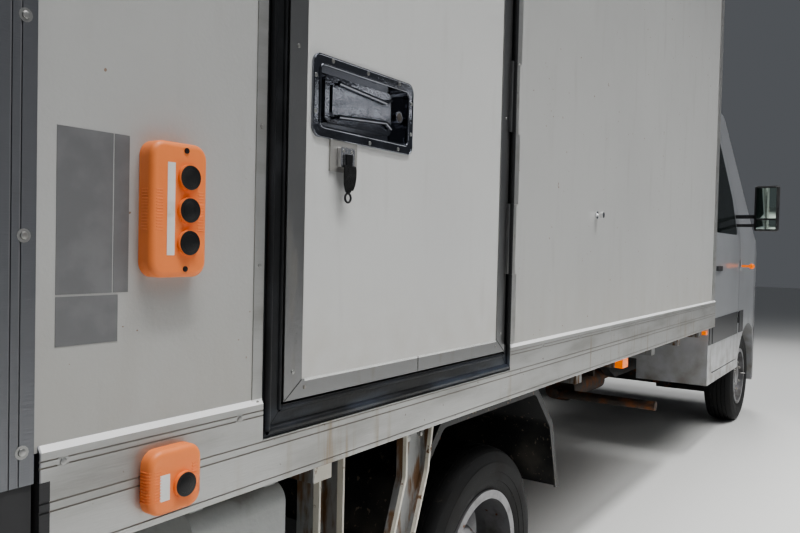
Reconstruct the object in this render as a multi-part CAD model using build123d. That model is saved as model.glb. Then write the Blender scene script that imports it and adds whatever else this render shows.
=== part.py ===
from build123d import *
import math
import os

# Refrigerated box truck, millimetres. X points forward, Y to the truck's left, Z up from the ground.

# Wheels and axles
WHEELBASE = 4325.0
REAR_AXLE_X = -1860.0
FRONT_AXLE_X = REAR_AXLE_X + WHEELBASE
TYRE_R = 347.0
TYRE_HALF_W = 102.5
BEAD_R = 203.0
RIM_IN_R = 190.0
RIM_HALF_W = 86.0
FRONT_TYRE_Y = 852.0
REAR_OUTER_TYRE_Y = 882.0
REAR_INNER_TYRE_Y = 648.0
KINGPIN_Y = 795.0
KINGPIN_R = 14.0
SPINDLE_R = 38.0
AXLE_STUB_R = 40.0
PIN_GAP = 0.3
HOLE_COUNT = 10
HOLE_PITCH_R = 145.0
HOLE_R = 22.0

# Chassis frame
RAIL_Y = 405.0
RAIL_W = 60.0
RAIL_WEB_T = 8.0
STRUT_Y = 600.0
STRUT_TOP_Z = 862.0

# Insulated body
BODY_HALF_W = 1060.0
PANEL_T = 60.0
INNER_HALF_W = BODY_HALF_W - PANEL_T
BODY_REAR_X = -3390.0
BODY_FRONT_X = 905.0
BODY_TOP_Z = 3130.0
ROOF_T = 70.0
ROOF_BOTTOM_Z = BODY_TOP_Z - ROOF_T
FLOOR_TOP_Z = 1000.0
FLOOR_BOTTOM_Z = 861.0
REAR_POST_W = 69.0
POST_FRONT_X = BODY_REAR_X + REAR_POST_W
FRONT_POST_X = BODY_FRONT_X - 82
RAIL_TOP_Z = 1022.0
RAIL_CHAMFER_Z = 1013.0
RAIL_OUT_Y = BODY_HALF_W + 6
POST_OUT_Y = BODY_HALF_W + 3
POST_FOOT_Z = 974.0
GROOVE_DEPTH = 1.6
# Grooves of the bottom rail: height above ground and width.
RAIL_GROOVES = [(1000.0, 2.5), (991.0, 2.5), (943.0, 3.0), (930.0, 3.0), (872.0, 2.5)]
# Grooves of the rear post: distance in front of its rear face and width.
POST_GROOVES = [(14.0, 3.0), (33.0, 3.0), (46.0, 3.0)]

# Side door in the right wall
DOOR_X0 = -2847.0
DOOR_W = 910.0
DOOR_X1 = DOOR_X0 + DOOR_W
DOOR_Z0 = 1007.0
DOOR_Z1 = BODY_TOP_Z - 275
DOOR_GAP = 5.0
SEAL_W = 48.0
SEAL_X0 = DOOR_X0 - DOOR_GAP - SEAL_W
SEAL_X1 = DOOR_X1 + DOOR_GAP + 34
SEAL_Z0 = 948.0
SEAL_Z1 = DOOR_Z1 + 50
STRIP_W = 24.0
DOOR_FACE_Y = -(BODY_HALF_W + 2)
DOOR_BACK_Y = -INNER_HALF_W
DOOR_FRAME_PROUD = 3.0
DOOR_SIDE_FRAME_W = 49.0
DOOR_BOTTOM_FRAME_W = 36.0
DOOR_HINGE_X = DOOR_X1 + 8
DOOR_HINGE_Y = -(BODY_HALF_W + 12)
DOOR_HINGE_R = 7.0
DOOR_PIN_R = 3.5
HINGE_LINES = 10
# Recessed latch: centre, outer size, flange and depth of its pan.
LATCH_X = DOOR_X0 + 237
LATCH_Z = 1587.0
LATCH_W = 344.0
LATCH_H = 160.0
LATCH_FLANGE = 16.0
LATCH_PAN_DEPTH = 26.0
KNOB_X = DOOR_X1 + 742
KNOB_Z = 1432.0

# Lift control boxes on the right side: centre, size and button heights.
CONTROL_X = BODY_REAR_X + 281
CONTROL_W = 106.0
CONTROL_Z = (1244.0, 1450.0)
CONTROL_BUTTONS = (1297.0, 1347.0, 1397.0)
CONTROL_LOW_Z = (882.0, 982.0)
CONTROL_LOW_W = 99.0
CONTROL_LOW_BUTTON = 923.0
CONTROL_T = 30.0
BUTTON_X = BODY_REAR_X + 295
BUTTON_COLLAR_R = 20.0
BUTTON_R = 15.0

# Cab
CAB_REAR_X = 1070.0
CAB_HALF_W = 996.0
CAB_BOTTOM_Z = 470.0
CAB_WALL = 66.0
ARCH_R = 418.0
CAB_DOOR_X0 = 1165.0
CAB_DOOR_X1 = 2050.0
CAB_DOOR_Z0 = 540.0
CAB_DOOR_TOP_Z = 2235.0
CAB_DOOR_GAP = 6.0
CAB_HINGE_X = 2053.0
CAB_HINGE_Y = CAB_HALF_W + 7
CAB_HINGE_R = 6.0
CAB_PIN_R = 3.0
CAB_HINGE_Z = (800.0, 1180.0)
CAB_HINGE_LEN = 40.0
BONNET_HINGE_X = 2737.0
BONNET_HINGE_Z = 1414.0
BONNET_HINGE_YS = (560.0, -600.0)
GRILLE_HALF_W = CAB_HALF_W - 436
GRILLE_SLOTS = 5
GRILLE_SLOT_H = 28.0
GRILLE_SLOT_PITCH = 46.0

# Cooling unit
UNIT_HALF_W = 800.0
CAB_TOP_Z = 2400.0
UNIT_Z0 = CAB_TOP_Z + 100
UNIT_Z1 = BODY_TOP_Z - 90
UNIT_H = UNIT_Z1 - UNIT_Z0
FAN_Z = (UNIT_Z0 + UNIT_Z1) / 2 + 20
FAN_R = UNIT_H * 0.352
FAN_X = 1185.0
FAN_SHAFT_R = 12.0
BLADE_COUNT = 6
LOUVRE_COUNT = 8

# Tail lift: pivots in the XZ plane, arms, ties, rams and platform.
LIFT_A = (-2798.0, 440.0)
LIFT_B = (-3435.0, 820.0)
LIFT_TIE_RISE = 60.0
LIFT_H = (-3435.0, 967.0)
LIFT_TUBE_DIST = 300.0
LIFT_EYE_DIST = 220.0
LIFT_P = (-2775.0, 340.0)
ARM_Y = 520.0
ARM_W = 56.0
ARM_H = 70.0
TIE_Y = 590.0
TIE_W = 26.0
RAM_Y = 300.0
RAM_R = 32.0
RAM_ROD_R = 16.0
RAM_PIN_R = 12.0
RAM_EYE_BORE_R = 19.5
RAM_EYE_R = 28.0
RAM_EYE_W = 40.0
LIFT_PIN_R = 16.0
TIE_PIN_R = 12.0
HEAD_PIN_R = 14.0
HEAD_PLATES = [(476, 488), (552, 564), (608, 620)]
HEAD_BEAM_Z = (LIFT_B[1] + LIFT_TIE_RISE + 37, LIFT_H[1] - 29)
PLATFORM_FACE_X = BODY_REAR_X - 12
PLATFORM_T = 55.0
PLATFORM_Z0 = 997.0
PLATFORM_TOP_Z = BODY_TOP_Z - 340
PLATFORM_HALF_W = BODY_HALF_W - 35
PLATFORM_RIBS = 9
FLAP_Z0 = BODY_TOP_Z - 330
FLAP_Z1 = BODY_TOP_Z - 146
FLAP_HINGE_X = BODY_REAR_X - 8
FLAP_HINGE_Z = BODY_TOP_Z - 134

os.makedirs("parts", exist_ok=True)


def block(x0, x1, y0, y1, z0, z1):
    return Pos((x0 + x1) / 2, (y0 + y1) / 2, (z0 + z1) / 2) * Box(x1 - x0, y1 - y0, z1 - z0)


def rod_x(y, z, r, x0, x1):
    return Pos((x0 + x1) / 2, y, z) * Rot(0, 90, 0) * Cylinder(r, x1 - x0)


def rod_y(x, z, r, y0, y1):
    return Pos(x, (y0 + y1) / 2, z) * Rot(90, 0, 0) * Cylinder(r, y1 - y0)


def rod_z(x, y, r, z0, z1):
    return Pos(x, y, (z0 + z1) / 2) * Cylinder(r, z1 - z0)


def outline(corners):
    # Closed face of straight lines whose corners (a, b, r) are rounded by tangent arcs.
    starts = []
    ends = []
    arcs = []
    count = len(corners)
    area = sum(corners[i - 1][0] * corners[i][1] - corners[i][0] * corners[i - 1][1] for i in range(count))
    if area < 0:
        corners = corners[::-1]
    for i in range(count):
        a, b, r = corners[i]
        here = Vector(a, b)
        if r == 0:
            starts.append(here)
            ends.append(here)
            continue
        back = (Vector(*corners[i - 1][:2]) - here).normalized()
        ahead = (Vector(*corners[(i + 1) % count][:2]) - here).normalized()
        half = math.acos(max(-1.0, min(1.0, back.dot(ahead)))) / 2
        reach = r / math.tan(half)
        inward = (back + ahead).normalized()
        starts.append(here + back * reach)
        ends.append(here + ahead * reach)
        arcs.append(ThreePointArc(starts[i], here + inward * (r / math.sin(half) - r), ends[i]))
    lines = []
    for i in range(count):
        if (starts[i] - ends[i - 1]).length > 0.001:
            lines.append(Line(ends[i - 1], starts[i]))
    return make_face(Wire(lines + arcs))


def slab_x(corners, x0, x1):
    return Pos(x0, 0, 0) * extrude(Plane.YZ * outline(corners), x1 - x0)


def slab_y(corners, y0, y1):
    return Pos(0, y1, 0) * extrude(Plane.XZ * outline(corners), y1 - y0)


def slab_z(corners, z0, z1):
    return Pos(0, 0, z0) * extrude(outline(corners), z1 - z0)


def grown_slab_y(corners, gap, y0, y1):
    # Slab whose outline is moved outwards by a gap, for the openings round doors and lids.
    return Pos(0, y1, 0) * extrude(Plane.XZ * offset(outline(corners), gap), y1 - y0)


def plate_y(x, z, width, height, radius, y0, y1):
    # Plate with rounded corners about a centre in the XZ plane.
    x0, x1, z0, z1 = x - width / 2, x + width / 2, z - height / 2, z + height / 2
    return slab_y([(x0, z0, radius), (x1, z0, radius), (x1, z1, radius), (x0, z1, radius)], y0, y1)


def turned_y(x, y, z, corners):
    # Solid of revolution about a line along Y; corners are (radius, distance along Y, rounding).
    return Pos(x, y, z) * revolve(outline(corners), Axis.Y, 360)


def mirrored(shape):
    return mirror(shape, about=Plane.XZ)


def both(shape):
    return shape + mirrored(shape)


def joined(shapes):
    total = shapes[0]
    for shape in shapes[1:]:
        total = total + shape
    return total


def save(name, *shapes):
    solids = joined(list(shapes)).solids()
    if len(solids) == 1:
        export_step(solids[0], f"parts/{name}.step")
    else:
        export_step(Compound(children=list(solids)), f"parts/{name}.step")


def even(first, last, count):
    return [first + (last - first) * i / (count - 1) for i in range(count)]


def flared(half_width, edge):
    # Mirror-image pairs of plan points that both sides of the cab share.
    return [(x, -(half_width - inset), r) for x, inset, r in edge] + [
        (x, half_width - inset, r) for x, inset, r in reversed(edge)]


# Direction of the lift arms at rest, from the frame pivot to the head, and what sits along them.
ARM_DX = LIFT_B[0] - LIFT_A[0]
ARM_DZ = LIFT_B[1] - LIFT_A[1]
ARM_LEN = math.hypot(ARM_DX, ARM_DZ)
LIFT_T = (LIFT_A[0] + ARM_DX / ARM_LEN * LIFT_TUBE_DIST, LIFT_A[1] + ARM_DZ / ARM_LEN * LIFT_TUBE_DIST)
LIFT_Q = (LIFT_A[0] + ARM_DX / ARM_LEN * LIFT_EYE_DIST, LIFT_A[1] + ARM_DZ / ARM_LEN * LIFT_EYE_DIST)
TIE_A = (LIFT_A[0], LIFT_A[1] + LIFT_TIE_RISE)
TIE_B = (LIFT_B[0], LIFT_B[1] + LIFT_TIE_RISE)


def bar_between(p, q, height, end_r, y0, y1):
    # Flat bar with round ends between two points of the XZ plane.
    length = math.hypot(q[0] - p[0], q[1] - p[1])
    turn = math.degrees(math.atan2(q[1] - p[1], q[0] - p[0]))
    shape = block(0, length, y0, y1, -height / 2, height / 2)
    shape = shape + rod_y(0, 0, end_r, y0, y1) + rod_y(length, 0, end_r, y0, y1)
    return Pos(p[0], 0, p[1]) * Rot(0, -turn, 0) * shape


# Chassis frame: two channel rails that drop under the cab, their cross members and the floor bearers.
RAIL_IN_Y = RAIL_Y - RAIL_W / 2
RAIL_OUT_FACE_Y = RAIL_Y + RAIL_W / 2
RAIL_WEB_Y = RAIL_OUT_FACE_Y - RAIL_WEB_T
RAIL_SIDE = [(-2980, 600, 0), (760, 600, 60), (1010, 470, 60), (3080, 470, 0),
             (3080, 590, 0), (1030, 590, 60), (780, 740, 60), (-2980, 740, 0)]
RAIL_HOLLOW = [(-2981, 608, 0), (764, 608, 60), (1014, 478, 60), (3081, 478, 0),
               (3081, 582, 0), (1026, 582, 60), (776, 732, 60), (-2981, 732, 0)]
# Cross members: place along the truck, bottom and top.
CROSS_MEMBERS = [(-2955, 620, 720), (-2350, 640, 700), (-1250, 640, 700), (-500, 640, 700),
                 (250, 640, 700), (700, 640, 700), (3050, 490, 570)]
CROSS_W = 50.0
BEARER_W = 60.0
BEARER_Z0 = 800.0
BEARER_COUNT = 9
rail = slab_y(RAIL_SIDE, RAIL_IN_Y, RAIL_OUT_FACE_Y) - slab_y(RAIL_HOLLOW, RAIL_IN_Y - 1, RAIL_WEB_Y)
crash_horn = block(3070, 3380, RAIL_IN_Y, RAIL_OUT_FACE_Y, 490, 580)
frame = both(rail + crash_horn)
for x, z0, z1 in CROSS_MEMBERS:
    frame = frame + block(x - CROSS_W / 2, x + CROSS_W / 2, -RAIL_WEB_Y - 2, RAIL_WEB_Y + 2, z0, z1)
frame = frame + both(block(BODY_REAR_X + 5, BODY_FRONT_X - 25, RAIL_Y - 20, RAIL_Y + 25, 740, BEARER_Z0))
for x in even(BODY_REAR_X + 240, BODY_FRONT_X - 85, BEARER_COUNT):
    reach = 525 if abs(x - REAR_AXLE_X) < 400 else INNER_HALF_W
    frame = frame + block(x - BEARER_W / 2, x + BEARER_W / 2, -reach, reach, BEARER_Z0, FLOOR_BOTTOM_Z)

# Lift frame: cross tube, its brackets and the lugs and pins of the arms, ties and rams.
TUBE_X = (-2760.0, -2660.0)
TUBE_Z = (460.0, 560.0)
frame = frame + block(*TUBE_X, -625, 625, *TUBE_Z) + both(block(*TUBE_X, 380, 430, TUBE_Z[1] - 5, 605))
LUG_SIDE = [(-2700, 460, 0), (-2700, 560, 0), (-2800, 535, 20), (-2834, 500, 20),
            (-2834, 415, 25), (-2790, 400, 20)]
RAM_LUG_SIDE = [(-2690, 470, 0), (-2765, 470, 0), (-2806, 345, 28), (-2780, 306, 28), (-2744, 322, 20)]
RAM_LUGS = [(254, 264), (336, 346)]
for y0, y1 in HEAD_PLATES:
    frame = frame + both(slab_y(LUG_SIDE, y0, y1))
frame = frame + both(rod_y(*LIFT_A, LIFT_PIN_R, HEAD_PLATES[0][0], HEAD_PLATES[1][1]))
frame = frame + both(rod_y(*TIE_A, TIE_PIN_R, HEAD_PLATES[1][0], HEAD_PLATES[2][1]))
for y0, y1 in RAM_LUGS:
    frame = frame + both(slab_y(RAM_LUG_SIDE, y0, y1))
frame = frame + both(rod_y(*LIFT_P, RAM_PIN_R, RAM_LUGS[0][0], RAM_LUGS[1][1]))

# Underrun bars with their hangers: a middle bar and one outside each lift arm.
UNDERRUN_X = (-3370.0, -3310.0)
UNDERRUN_Z = (400.0, 500.0)
frame = frame + block(*UNDERRUN_X, -415, 415, *UNDERRUN_Z)
frame = frame + both(block(-3365, -3315, 400, 412, 490, 745))
frame = frame + both(block(*UNDERRUN_X, 650, INNER_HALF_W - 40, *UNDERRUN_Z))
frame = frame + both(block(-3365, -3325, 690, 702, 490, 905))

# Galvanised channels that hang from the floor behind the rear wheels: a straight and a leaning one.
HANGER_X = (-2663.0, -2577.0)
HANGER_Z0 = 520.0
HANGER_T = 6.0
HANGER_WEB_Y = INNER_HALF_W - 62
hanger = block(*HANGER_X, HANGER_WEB_Y, HANGER_WEB_Y + HANGER_T, HANGER_Z0, FLOOR_BOTTOM_Z)
for x in [HANGER_X[0], HANGER_X[1] - HANGER_T]:
    hanger = hanger + block(x, x + HANGER_T, HANGER_WEB_Y + 2, INNER_HALF_W, HANGER_Z0, FLOOR_BOTTOM_Z)
LEAN_SIDE = [(-2394, FLOOR_BOTTOM_Z, 0), (-2394, 750, 30), (-2450, 600, 20), (-2462, 520, 0),
             (-2360, 520, 0), (-2346, 600, 20), (-2290, 742, 30), (-2270, FLOOR_BOTTOM_Z, 0)]
LEAN_HOLLOW = [(-2387, 870, 0), (-2387, 748, 30), (-2443, 598, 20), (-2455, 510, 0), (-2367, 510, 0),
               (-2353, 602, 20), (-2297, 744, 30), (-2277, 870, 0)]
LEAN_Y = INNER_HALF_W + 12
leaning = slab_y(LEAN_SIDE, LEAN_Y, LEAN_Y + 28) - slab_y(LEAN_HOLLOW, LEAN_Y + HANGER_T, LEAN_Y + 30)
frame = frame + both(hanger + leaning)

# Power pack of the lift behind the straight channel, hung from the floor.
PACK_X = (-3000.0, -2766.0)
PACK_SECTION = [(-INNER_HALF_W, 560, 30), (-650, 560, 30), (-650, 825, 40), (-INNER_HALF_W, 825, 40)]
pack = slab_x(PACK_SECTION, *PACK_X)
for x in [PACK_X[0] + 10, PACK_X[1] - 40]:
    pack = pack + block(x, x + 30, 20 - INNER_HALF_W, -700, 820, FLOOR_BOTTOM_Z)
save("chassis_frame", frame, pack)

# Engine block, gearbox, radiator, propeller shaft and exhaust.
SHAFT_START = (-1715.0, 380.0)
SHAFT_END = (1760.0, 490.0)
SHAFT_R = 38.0
EXHAUST_R = 30.0
EXHAUST_Z = 430.0
engine = block(2640, 3020, -250, 250, 400, 1020)
engine = engine + slab_y([(1750, 430, 30), (2650, 400, 0), (2650, 590, 0), (1750, 560, 30)], -130, 130)
engine = engine + both(block(2700, 2760, 240, RAIL_WEB_Y, 490, 550))
engine = engine + block(1900, 1960, -RAIL_WEB_Y, RAIL_WEB_Y, 480, 510)
engine = engine + block(3150, 3200, -RAIL_IN_Y, RAIL_IN_Y, 560, 1010)
shaft_turn = math.degrees(math.atan2(SHAFT_END[1] - SHAFT_START[1], SHAFT_END[0] - SHAFT_START[0]))
shaft_len = math.hypot(SHAFT_END[0] - SHAFT_START[0], SHAFT_END[1] - SHAFT_START[1])
shaft = Pos(SHAFT_START[0], 0, SHAFT_START[1]) * Rot(0, -shaft_turn, 0) * rod_x(0, 0, SHAFT_R, 14, shaft_len)
muffler = slab_x([(-360, 380, 60), (-170, 380, 60), (-170, 520, 60), (-360, 520, 60)], 480, 1030)
muffler = muffler + block(760, 790, -RAIL_IN_Y, -330, 500, 610)
TAIL_PIPE_R = 26.0
pipe = rod_x(-260, EXHAUST_Z, EXHAUST_R, 395, 2700) + rod_y(430, EXHAUST_Z, TAIL_PIPE_R, -860, -255)
pipe = pipe + block(2560, 2660, -285, -205, 405, 465)
save("powertrain", engine, shaft, muffler, pipe)

# Rear axle: beam with differential, stub ends and leaf springs.
axle = rod_y(REAR_AXLE_X, TYRE_R, 55, -640, 640)
axle = axle + turned_y(REAR_AXLE_X, 0, TYRE_R, [
    (0, -150, 0), (90, -150, 20), (155, -60, 40), (155, 60, 40), (90, 150, 20), (0, 150, 0)])
axle = axle + both(rod_y(REAR_AXLE_X, TYRE_R, AXLE_STUB_R, 600, 720))
SPRING_EYES = (REAR_AXLE_X - 680, REAR_AXLE_X + 680)
SPRING_SIDE = [(-2560, 560, 0), (-2560, 600, 0), (-2520, 610, 20), (REAR_AXLE_X, 470, 900), (-1200, 610, 20),
               (-1160, 600, 0), (-1160, 560, 0), (-1200, 565, 0), (REAR_AXLE_X, 405, 900), (-2520, 565, 0)]
SPRING_Y = (455.0, 525.0)
axle = axle + both(slab_y(SPRING_SIDE, *SPRING_Y))
axle = axle + both(block(REAR_AXLE_X - 55, REAR_AXLE_X + 55, 450, 530, 380, 500))
for x in SPRING_EYES:
    axle = axle + both(block(x - 22, x + 22, RAIL_OUT_FACE_Y, 530, 590, 680))

# Front axle: cross member, lower arms, spring strut towers and the eyes that carry the knuckles.
front = block(2380, 2550, -430, 430, 230, 370) + both(block(2420, 2500, 380, 430, 360, 470))
front = front + both(slab_z([(2400, 400, 20), (FRONT_AXLE_X - 40, 825, 30), (FRONT_AXLE_X + 40, 825, 30),
                             (2530, 400, 20)], 200, 230))
front = front + both(block(2400, 2530, 330, 430, 200, 360))
front = front + both(block(FRONT_AXLE_X - 30, FRONT_AXLE_X + 30, STRUT_Y - 30, 820, 466, 490))
front = front + both(rod_z(FRONT_AXLE_X, STRUT_Y, 30, 466, STRUT_TOP_Z))
for z0, z1 in [(190, 240), (460, 500)]:
    front = front - both(rod_z(FRONT_AXLE_X, KINGPIN_Y, KINGPIN_R + PIN_GAP, z0, z1))
save("axles", axle, front)

# Steered knuckles: upright, king pin, brake disc behind the wheel and spindle.
knuckle = block(FRONT_AXLE_X - 50, FRONT_AXLE_X + 50, 772, 818, 240, 456)
knuckle = knuckle + rod_z(FRONT_AXLE_X, KINGPIN_Y, KINGPIN_R, 195, 495)
knuckle = knuckle + rod_y(FRONT_AXLE_X, TYRE_R, SPINDLE_R, 800, 905)
save("knuckle_left", knuckle)
save("knuckle_right", mirrored(knuckle))

# Wheels: tyres and steel rims with a ring of round holes; the rear ones are twins on one hub.
TYRE_SECTION = [(BEAD_R, -RIM_HALF_W, 0), (217, -RIM_HALF_W, 0), (238, -98, 0), (285, -TYRE_HALF_W, 40),
                (330, -94, 30), (TYRE_R, -72, 12), (TYRE_R, 72, 12), (330, 94, 30), (285, TYRE_HALF_W, 40),
                (238, 98, 0), (217, RIM_HALF_W, 0), (BEAD_R, RIM_HALF_W, 0)]
FLANGE_R = 216.0
FLANGE_W = 8.0


def wheel_holes(x, y0, y1):
    holes = []
    for i in range(HOLE_COUNT):
        turn = math.radians(360 / HOLE_COUNT * i)
        x_hole = x + HOLE_PITCH_R * math.cos(turn)
        z_hole = TYRE_R + HOLE_PITCH_R * math.sin(turn)
        holes.append(rod_y(x_hole, z_hole, HOLE_R, y0, y1))
    return joined(holes)


front_tyre = turned_y(FRONT_AXLE_X, FRONT_TYRE_Y, TYRE_R, TYRE_SECTION)
front_rim = turned_y(FRONT_AXLE_X, FRONT_TYRE_Y, TYRE_R,
                     [(RIM_IN_R, -RIM_HALF_W - FLANGE_W, 0), (FLANGE_R, -RIM_HALF_W - FLANGE_W, 0),
                      (FLANGE_R, -RIM_HALF_W, 0), (BEAD_R, -RIM_HALF_W, 0), (BEAD_R, RIM_HALF_W, 0),
                      (FLANGE_R, RIM_HALF_W, 0), (FLANGE_R, RIM_HALF_W + FLANGE_W, 0),
                      (RIM_IN_R, RIM_HALF_W + FLANGE_W, 0), (RIM_IN_R, 40, 0), (120, 68, 30),
                      (SPINDLE_R + PIN_GAP, 56, 0), (SPINDLE_R + PIN_GAP, 40, 0), (120, 52, 30),
                      (RIM_IN_R, 20, 0)])
hub_cap = rod_y(FRONT_AXLE_X, TYRE_R, 75, 895, 930) - rod_y(FRONT_AXLE_X, TYRE_R, SPINDLE_R + PIN_GAP,
                                                            890, 912)
front_rim = front_rim - wheel_holes(FRONT_AXLE_X, 860, 950) + hub_cap
save("front_tyre_left", front_tyre)
save("front_tyre_right", mirrored(front_tyre))
save("front_rim_left", front_rim)
save("front_rim_right", mirrored(front_rim))

rear_tyres = turned_y(REAR_AXLE_X, REAR_OUTER_TYRE_Y, TYRE_R, TYRE_SECTION)
rear_tyres = rear_tyres + turned_y(REAR_AXLE_X, REAR_INNER_TYRE_Y, TYRE_R, TYRE_SECTION)
INNER_BEADS = (REAR_INNER_TYRE_Y - RIM_HALF_W, REAR_INNER_TYRE_Y + RIM_HALF_W)
OUTER_BEADS = (REAR_OUTER_TYRE_Y - RIM_HALF_W, REAR_OUTER_TYRE_Y + RIM_HALF_W)
rear_rims = turned_y(REAR_AXLE_X, 0, TYRE_R, [(RIM_IN_R, INNER_BEADS[0] - FLANGE_W, 0),
                                              (FLANGE_R, INNER_BEADS[0] - FLANGE_W, 0),
                                              (FLANGE_R, INNER_BEADS[0], 0), (BEAD_R, INNER_BEADS[0], 0),
                                              (BEAD_R, INNER_BEADS[1], 0), (FLANGE_R, INNER_BEADS[1], 0),
                                              (FLANGE_R, INNER_BEADS[1] + FLANGE_W, 0),
                                              (200, INNER_BEADS[1] + FLANGE_W, 0),
                                              (200, OUTER_BEADS[0] - FLANGE_W, 0),
                                              (FLANGE_R, OUTER_BEADS[0] - FLANGE_W, 0),
                                              (FLANGE_R, OUTER_BEADS[0], 0), (BEAD_R, OUTER_BEADS[0], 0),
                                              (BEAD_R, OUTER_BEADS[1], 0), (FLANGE_R, OUTER_BEADS[1], 0),
                                              (FLANGE_R, OUTER_BEADS[1] + FLANGE_W, 0),
                                              (RIM_IN_R, OUTER_BEADS[1] + FLANGE_W, 0),
                                              (RIM_IN_R, 850, 0), (160, 800, 30), (95, 790, 0),
                                              (95, 905, 15), (0, 905, 0), (0, 725, 0),
                                              (AXLE_STUB_R + PIN_GAP, 725, 0),
                                              (AXLE_STUB_R + PIN_GAP, 660, 0), (80, 660, 0), (80, 760, 0),
                                              (150, 760, 0), (RIM_IN_R, 700, 0)])
rear_rims = rear_rims - wheel_holes(REAR_AXLE_X, 700, 860)
save("rear_tyres_left", rear_tyres)
save("rear_tyres_right", mirrored(rear_tyres))
save("rear_rims_left", rear_rims)
save("rear_rims_right", mirrored(rear_rims))

# Fuel tank on the left rail.
tank = slab_x([(500, 480, 60), (930, 480, 60), (930, 780, 60), (500, 780, 60)], -600, 350)
for x in [-500, 200]:
    tank = tank + block(x, x + 50, RAIL_OUT_FACE_Y, 520, 620, 680)
save("fuel_tank", tank)

# Mudguards over the twin wheels: bent shells with a front lip, brackets and rear flaps.
GUARD_T = 8.0
GUARD_Y = (535.0, INNER_HALF_W + 5)
GUARD_OUT = [(-2362, 520, 0), (-2370, 520, 0), (-2302, 702, 60), (-2170, 845, 60), (-1560, 845, 60),
             (-1420, 702, 60), (-1352, 460, 0), (-1360, 460, 0), (-1427, 698, 52),
             (-1563, 845 - GUARD_T, 52), (-2167, 845 - GUARD_T, 52), (-2295, 698, 52)]
GUARD_LIP = [(-2362, 520, 0), (-2370, 520, 0), (-2302, 702, 60), (-2170, 845, 60), (-1560, 845, 60),
             (-1420, 702, 60), (-1352, 460, 0), (-1378, 460, 0), (-1444, 690, 40), (-1570, 820, 40),
             (-2160, 820, 40), (-2280, 690, 40)]
guard = slab_y(GUARD_OUT, *GUARD_Y) + slab_y(GUARD_LIP, GUARD_Y[1] - 6, GUARD_Y[1])
for x in [-2190, -1600]:
    guard = guard + block(x, x + 40, 600, INNER_HALF_W - 40, 840, FLOOR_BOTTOM_Z)
guard = guard + block(-2372, -2364, 560, INNER_HALF_W - 20, 300, 560)
save("mudguards", both(guard))

# Cab body from three outlines: side, plan and front.
CAB_SIDE = [(CAB_REAR_X, CAB_BOTTOM_Z, 0), (CAB_REAR_X, 2335, 60), (1450, 2400, 600), (1800, 2392, 400),
            (1960, 2300, 140), (2690, 1430, 50), (3130, 1292, 250), (3372, 1115, 180), (3436, 760, 150),
            (3469, 580, 40), (3448, 300, 50), (3300, 262, 0), (2900, 262, 0), (2100, CAB_BOTTOM_Z, 0)]
CAB_PLAN = flared(CAB_HALF_W, [(1060, 0, 0), (2700, 0, 900), (3230, 66, 300), (3469, 436, 250)])
CAB_PLAN_INSIDE = flared(CAB_HALF_W, [(1000, 51, 0), (2700, 51, 800), (3205, 114, 260), (3424, 451, 215)])
SHOULDER_Z = 1400.0
CAB_FRONT = [(-CAB_HALF_W, 200, 0), (-CAB_HALF_W, SHOULDER_Z, 700), (136 - CAB_HALF_W, 2400, 150),
             (CAB_HALF_W - 136, 2400, 150), (CAB_HALF_W, SHOULDER_Z, 700), (CAB_HALF_W, 200, 0)]
cab_outer = slab_y(CAB_SIDE, -CAB_HALF_W - 4, CAB_HALF_W + 4) & slab_z(CAB_PLAN, 200, 2420)
cab_outer = cab_outer & slab_x(CAB_FRONT, 1060, 3480)

CABIN_SIDE = [(1115, 640, 40), (1115, 2290, 60), (1420, 2345, 450), (1760, 2345, 350), (1920, 2262, 90),
              (2560, 1500, 60), (2560, 760, 80), (2300, 640, 60)]
INSIDE_HALF_W = CAB_HALF_W - CAB_WALL
INSIDE_FRONT = [(-INSIDE_HALF_W, 400, 0), (-INSIDE_HALF_W, SHOULDER_Z, 700),
                (130 - INSIDE_HALF_W, 2345, 110), (INSIDE_HALF_W - 130, 2345, 110),
                (INSIDE_HALF_W, SHOULDER_Z, 700), (INSIDE_HALF_W, 400, 0)]
arch_room = both(rod_y(FRONT_AXLE_X, TYRE_R, ARCH_R + 35, 525, CAB_HALF_W + 14))
tower = both(rod_z(FRONT_AXLE_X, STRUT_Y, 85, 500, 900))
cabin = (slab_y(CABIN_SIDE, -INSIDE_HALF_W, INSIDE_HALF_W) & slab_x(INSIDE_FRONT, 1100,
                                                                    2600)) - arch_room - tower
BAY_SIDE = [(2610, 480, 0), (2610, 1380, 0), (3100, 1235, 160), (3290, 1080, 60), (3330, 620, 40),
            (3330, 480, 0)]
BAY_HALF_W = CAB_HALF_W - 441
WING_ROOM_SIDE = [(2611, 820, 0), (2611, 1335, 0), (3090, 1205, 120), (3240, 1080, 60), (3240, 640, 0),
                  (2925, 640, 0), (2860, 820, 0)]
WING_HALF_W = CAB_HALF_W - 126
bay = slab_y(BAY_SIDE, -BAY_HALF_W, BAY_HALF_W)
bay = bay + (slab_y(WING_ROOM_SIDE, -WING_HALF_W, WING_HALF_W) & slab_z(CAB_PLAN_INSIDE, 600, 1400))
under = block(1000, 2611, -BAY_HALF_W, BAY_HALF_W, 200, 600)
under = under + block(2600, 3340, -BAY_HALF_W, BAY_HALF_W, 200, 500)
arch = both(rod_y(FRONT_AXLE_X, TYRE_R, ARCH_R, BAY_HALF_W - 5, CAB_HALF_W + 14))
strut_room = both(rod_z(FRONT_AXLE_X, STRUT_Y, 60, 400, STRUT_TOP_Z))

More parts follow.
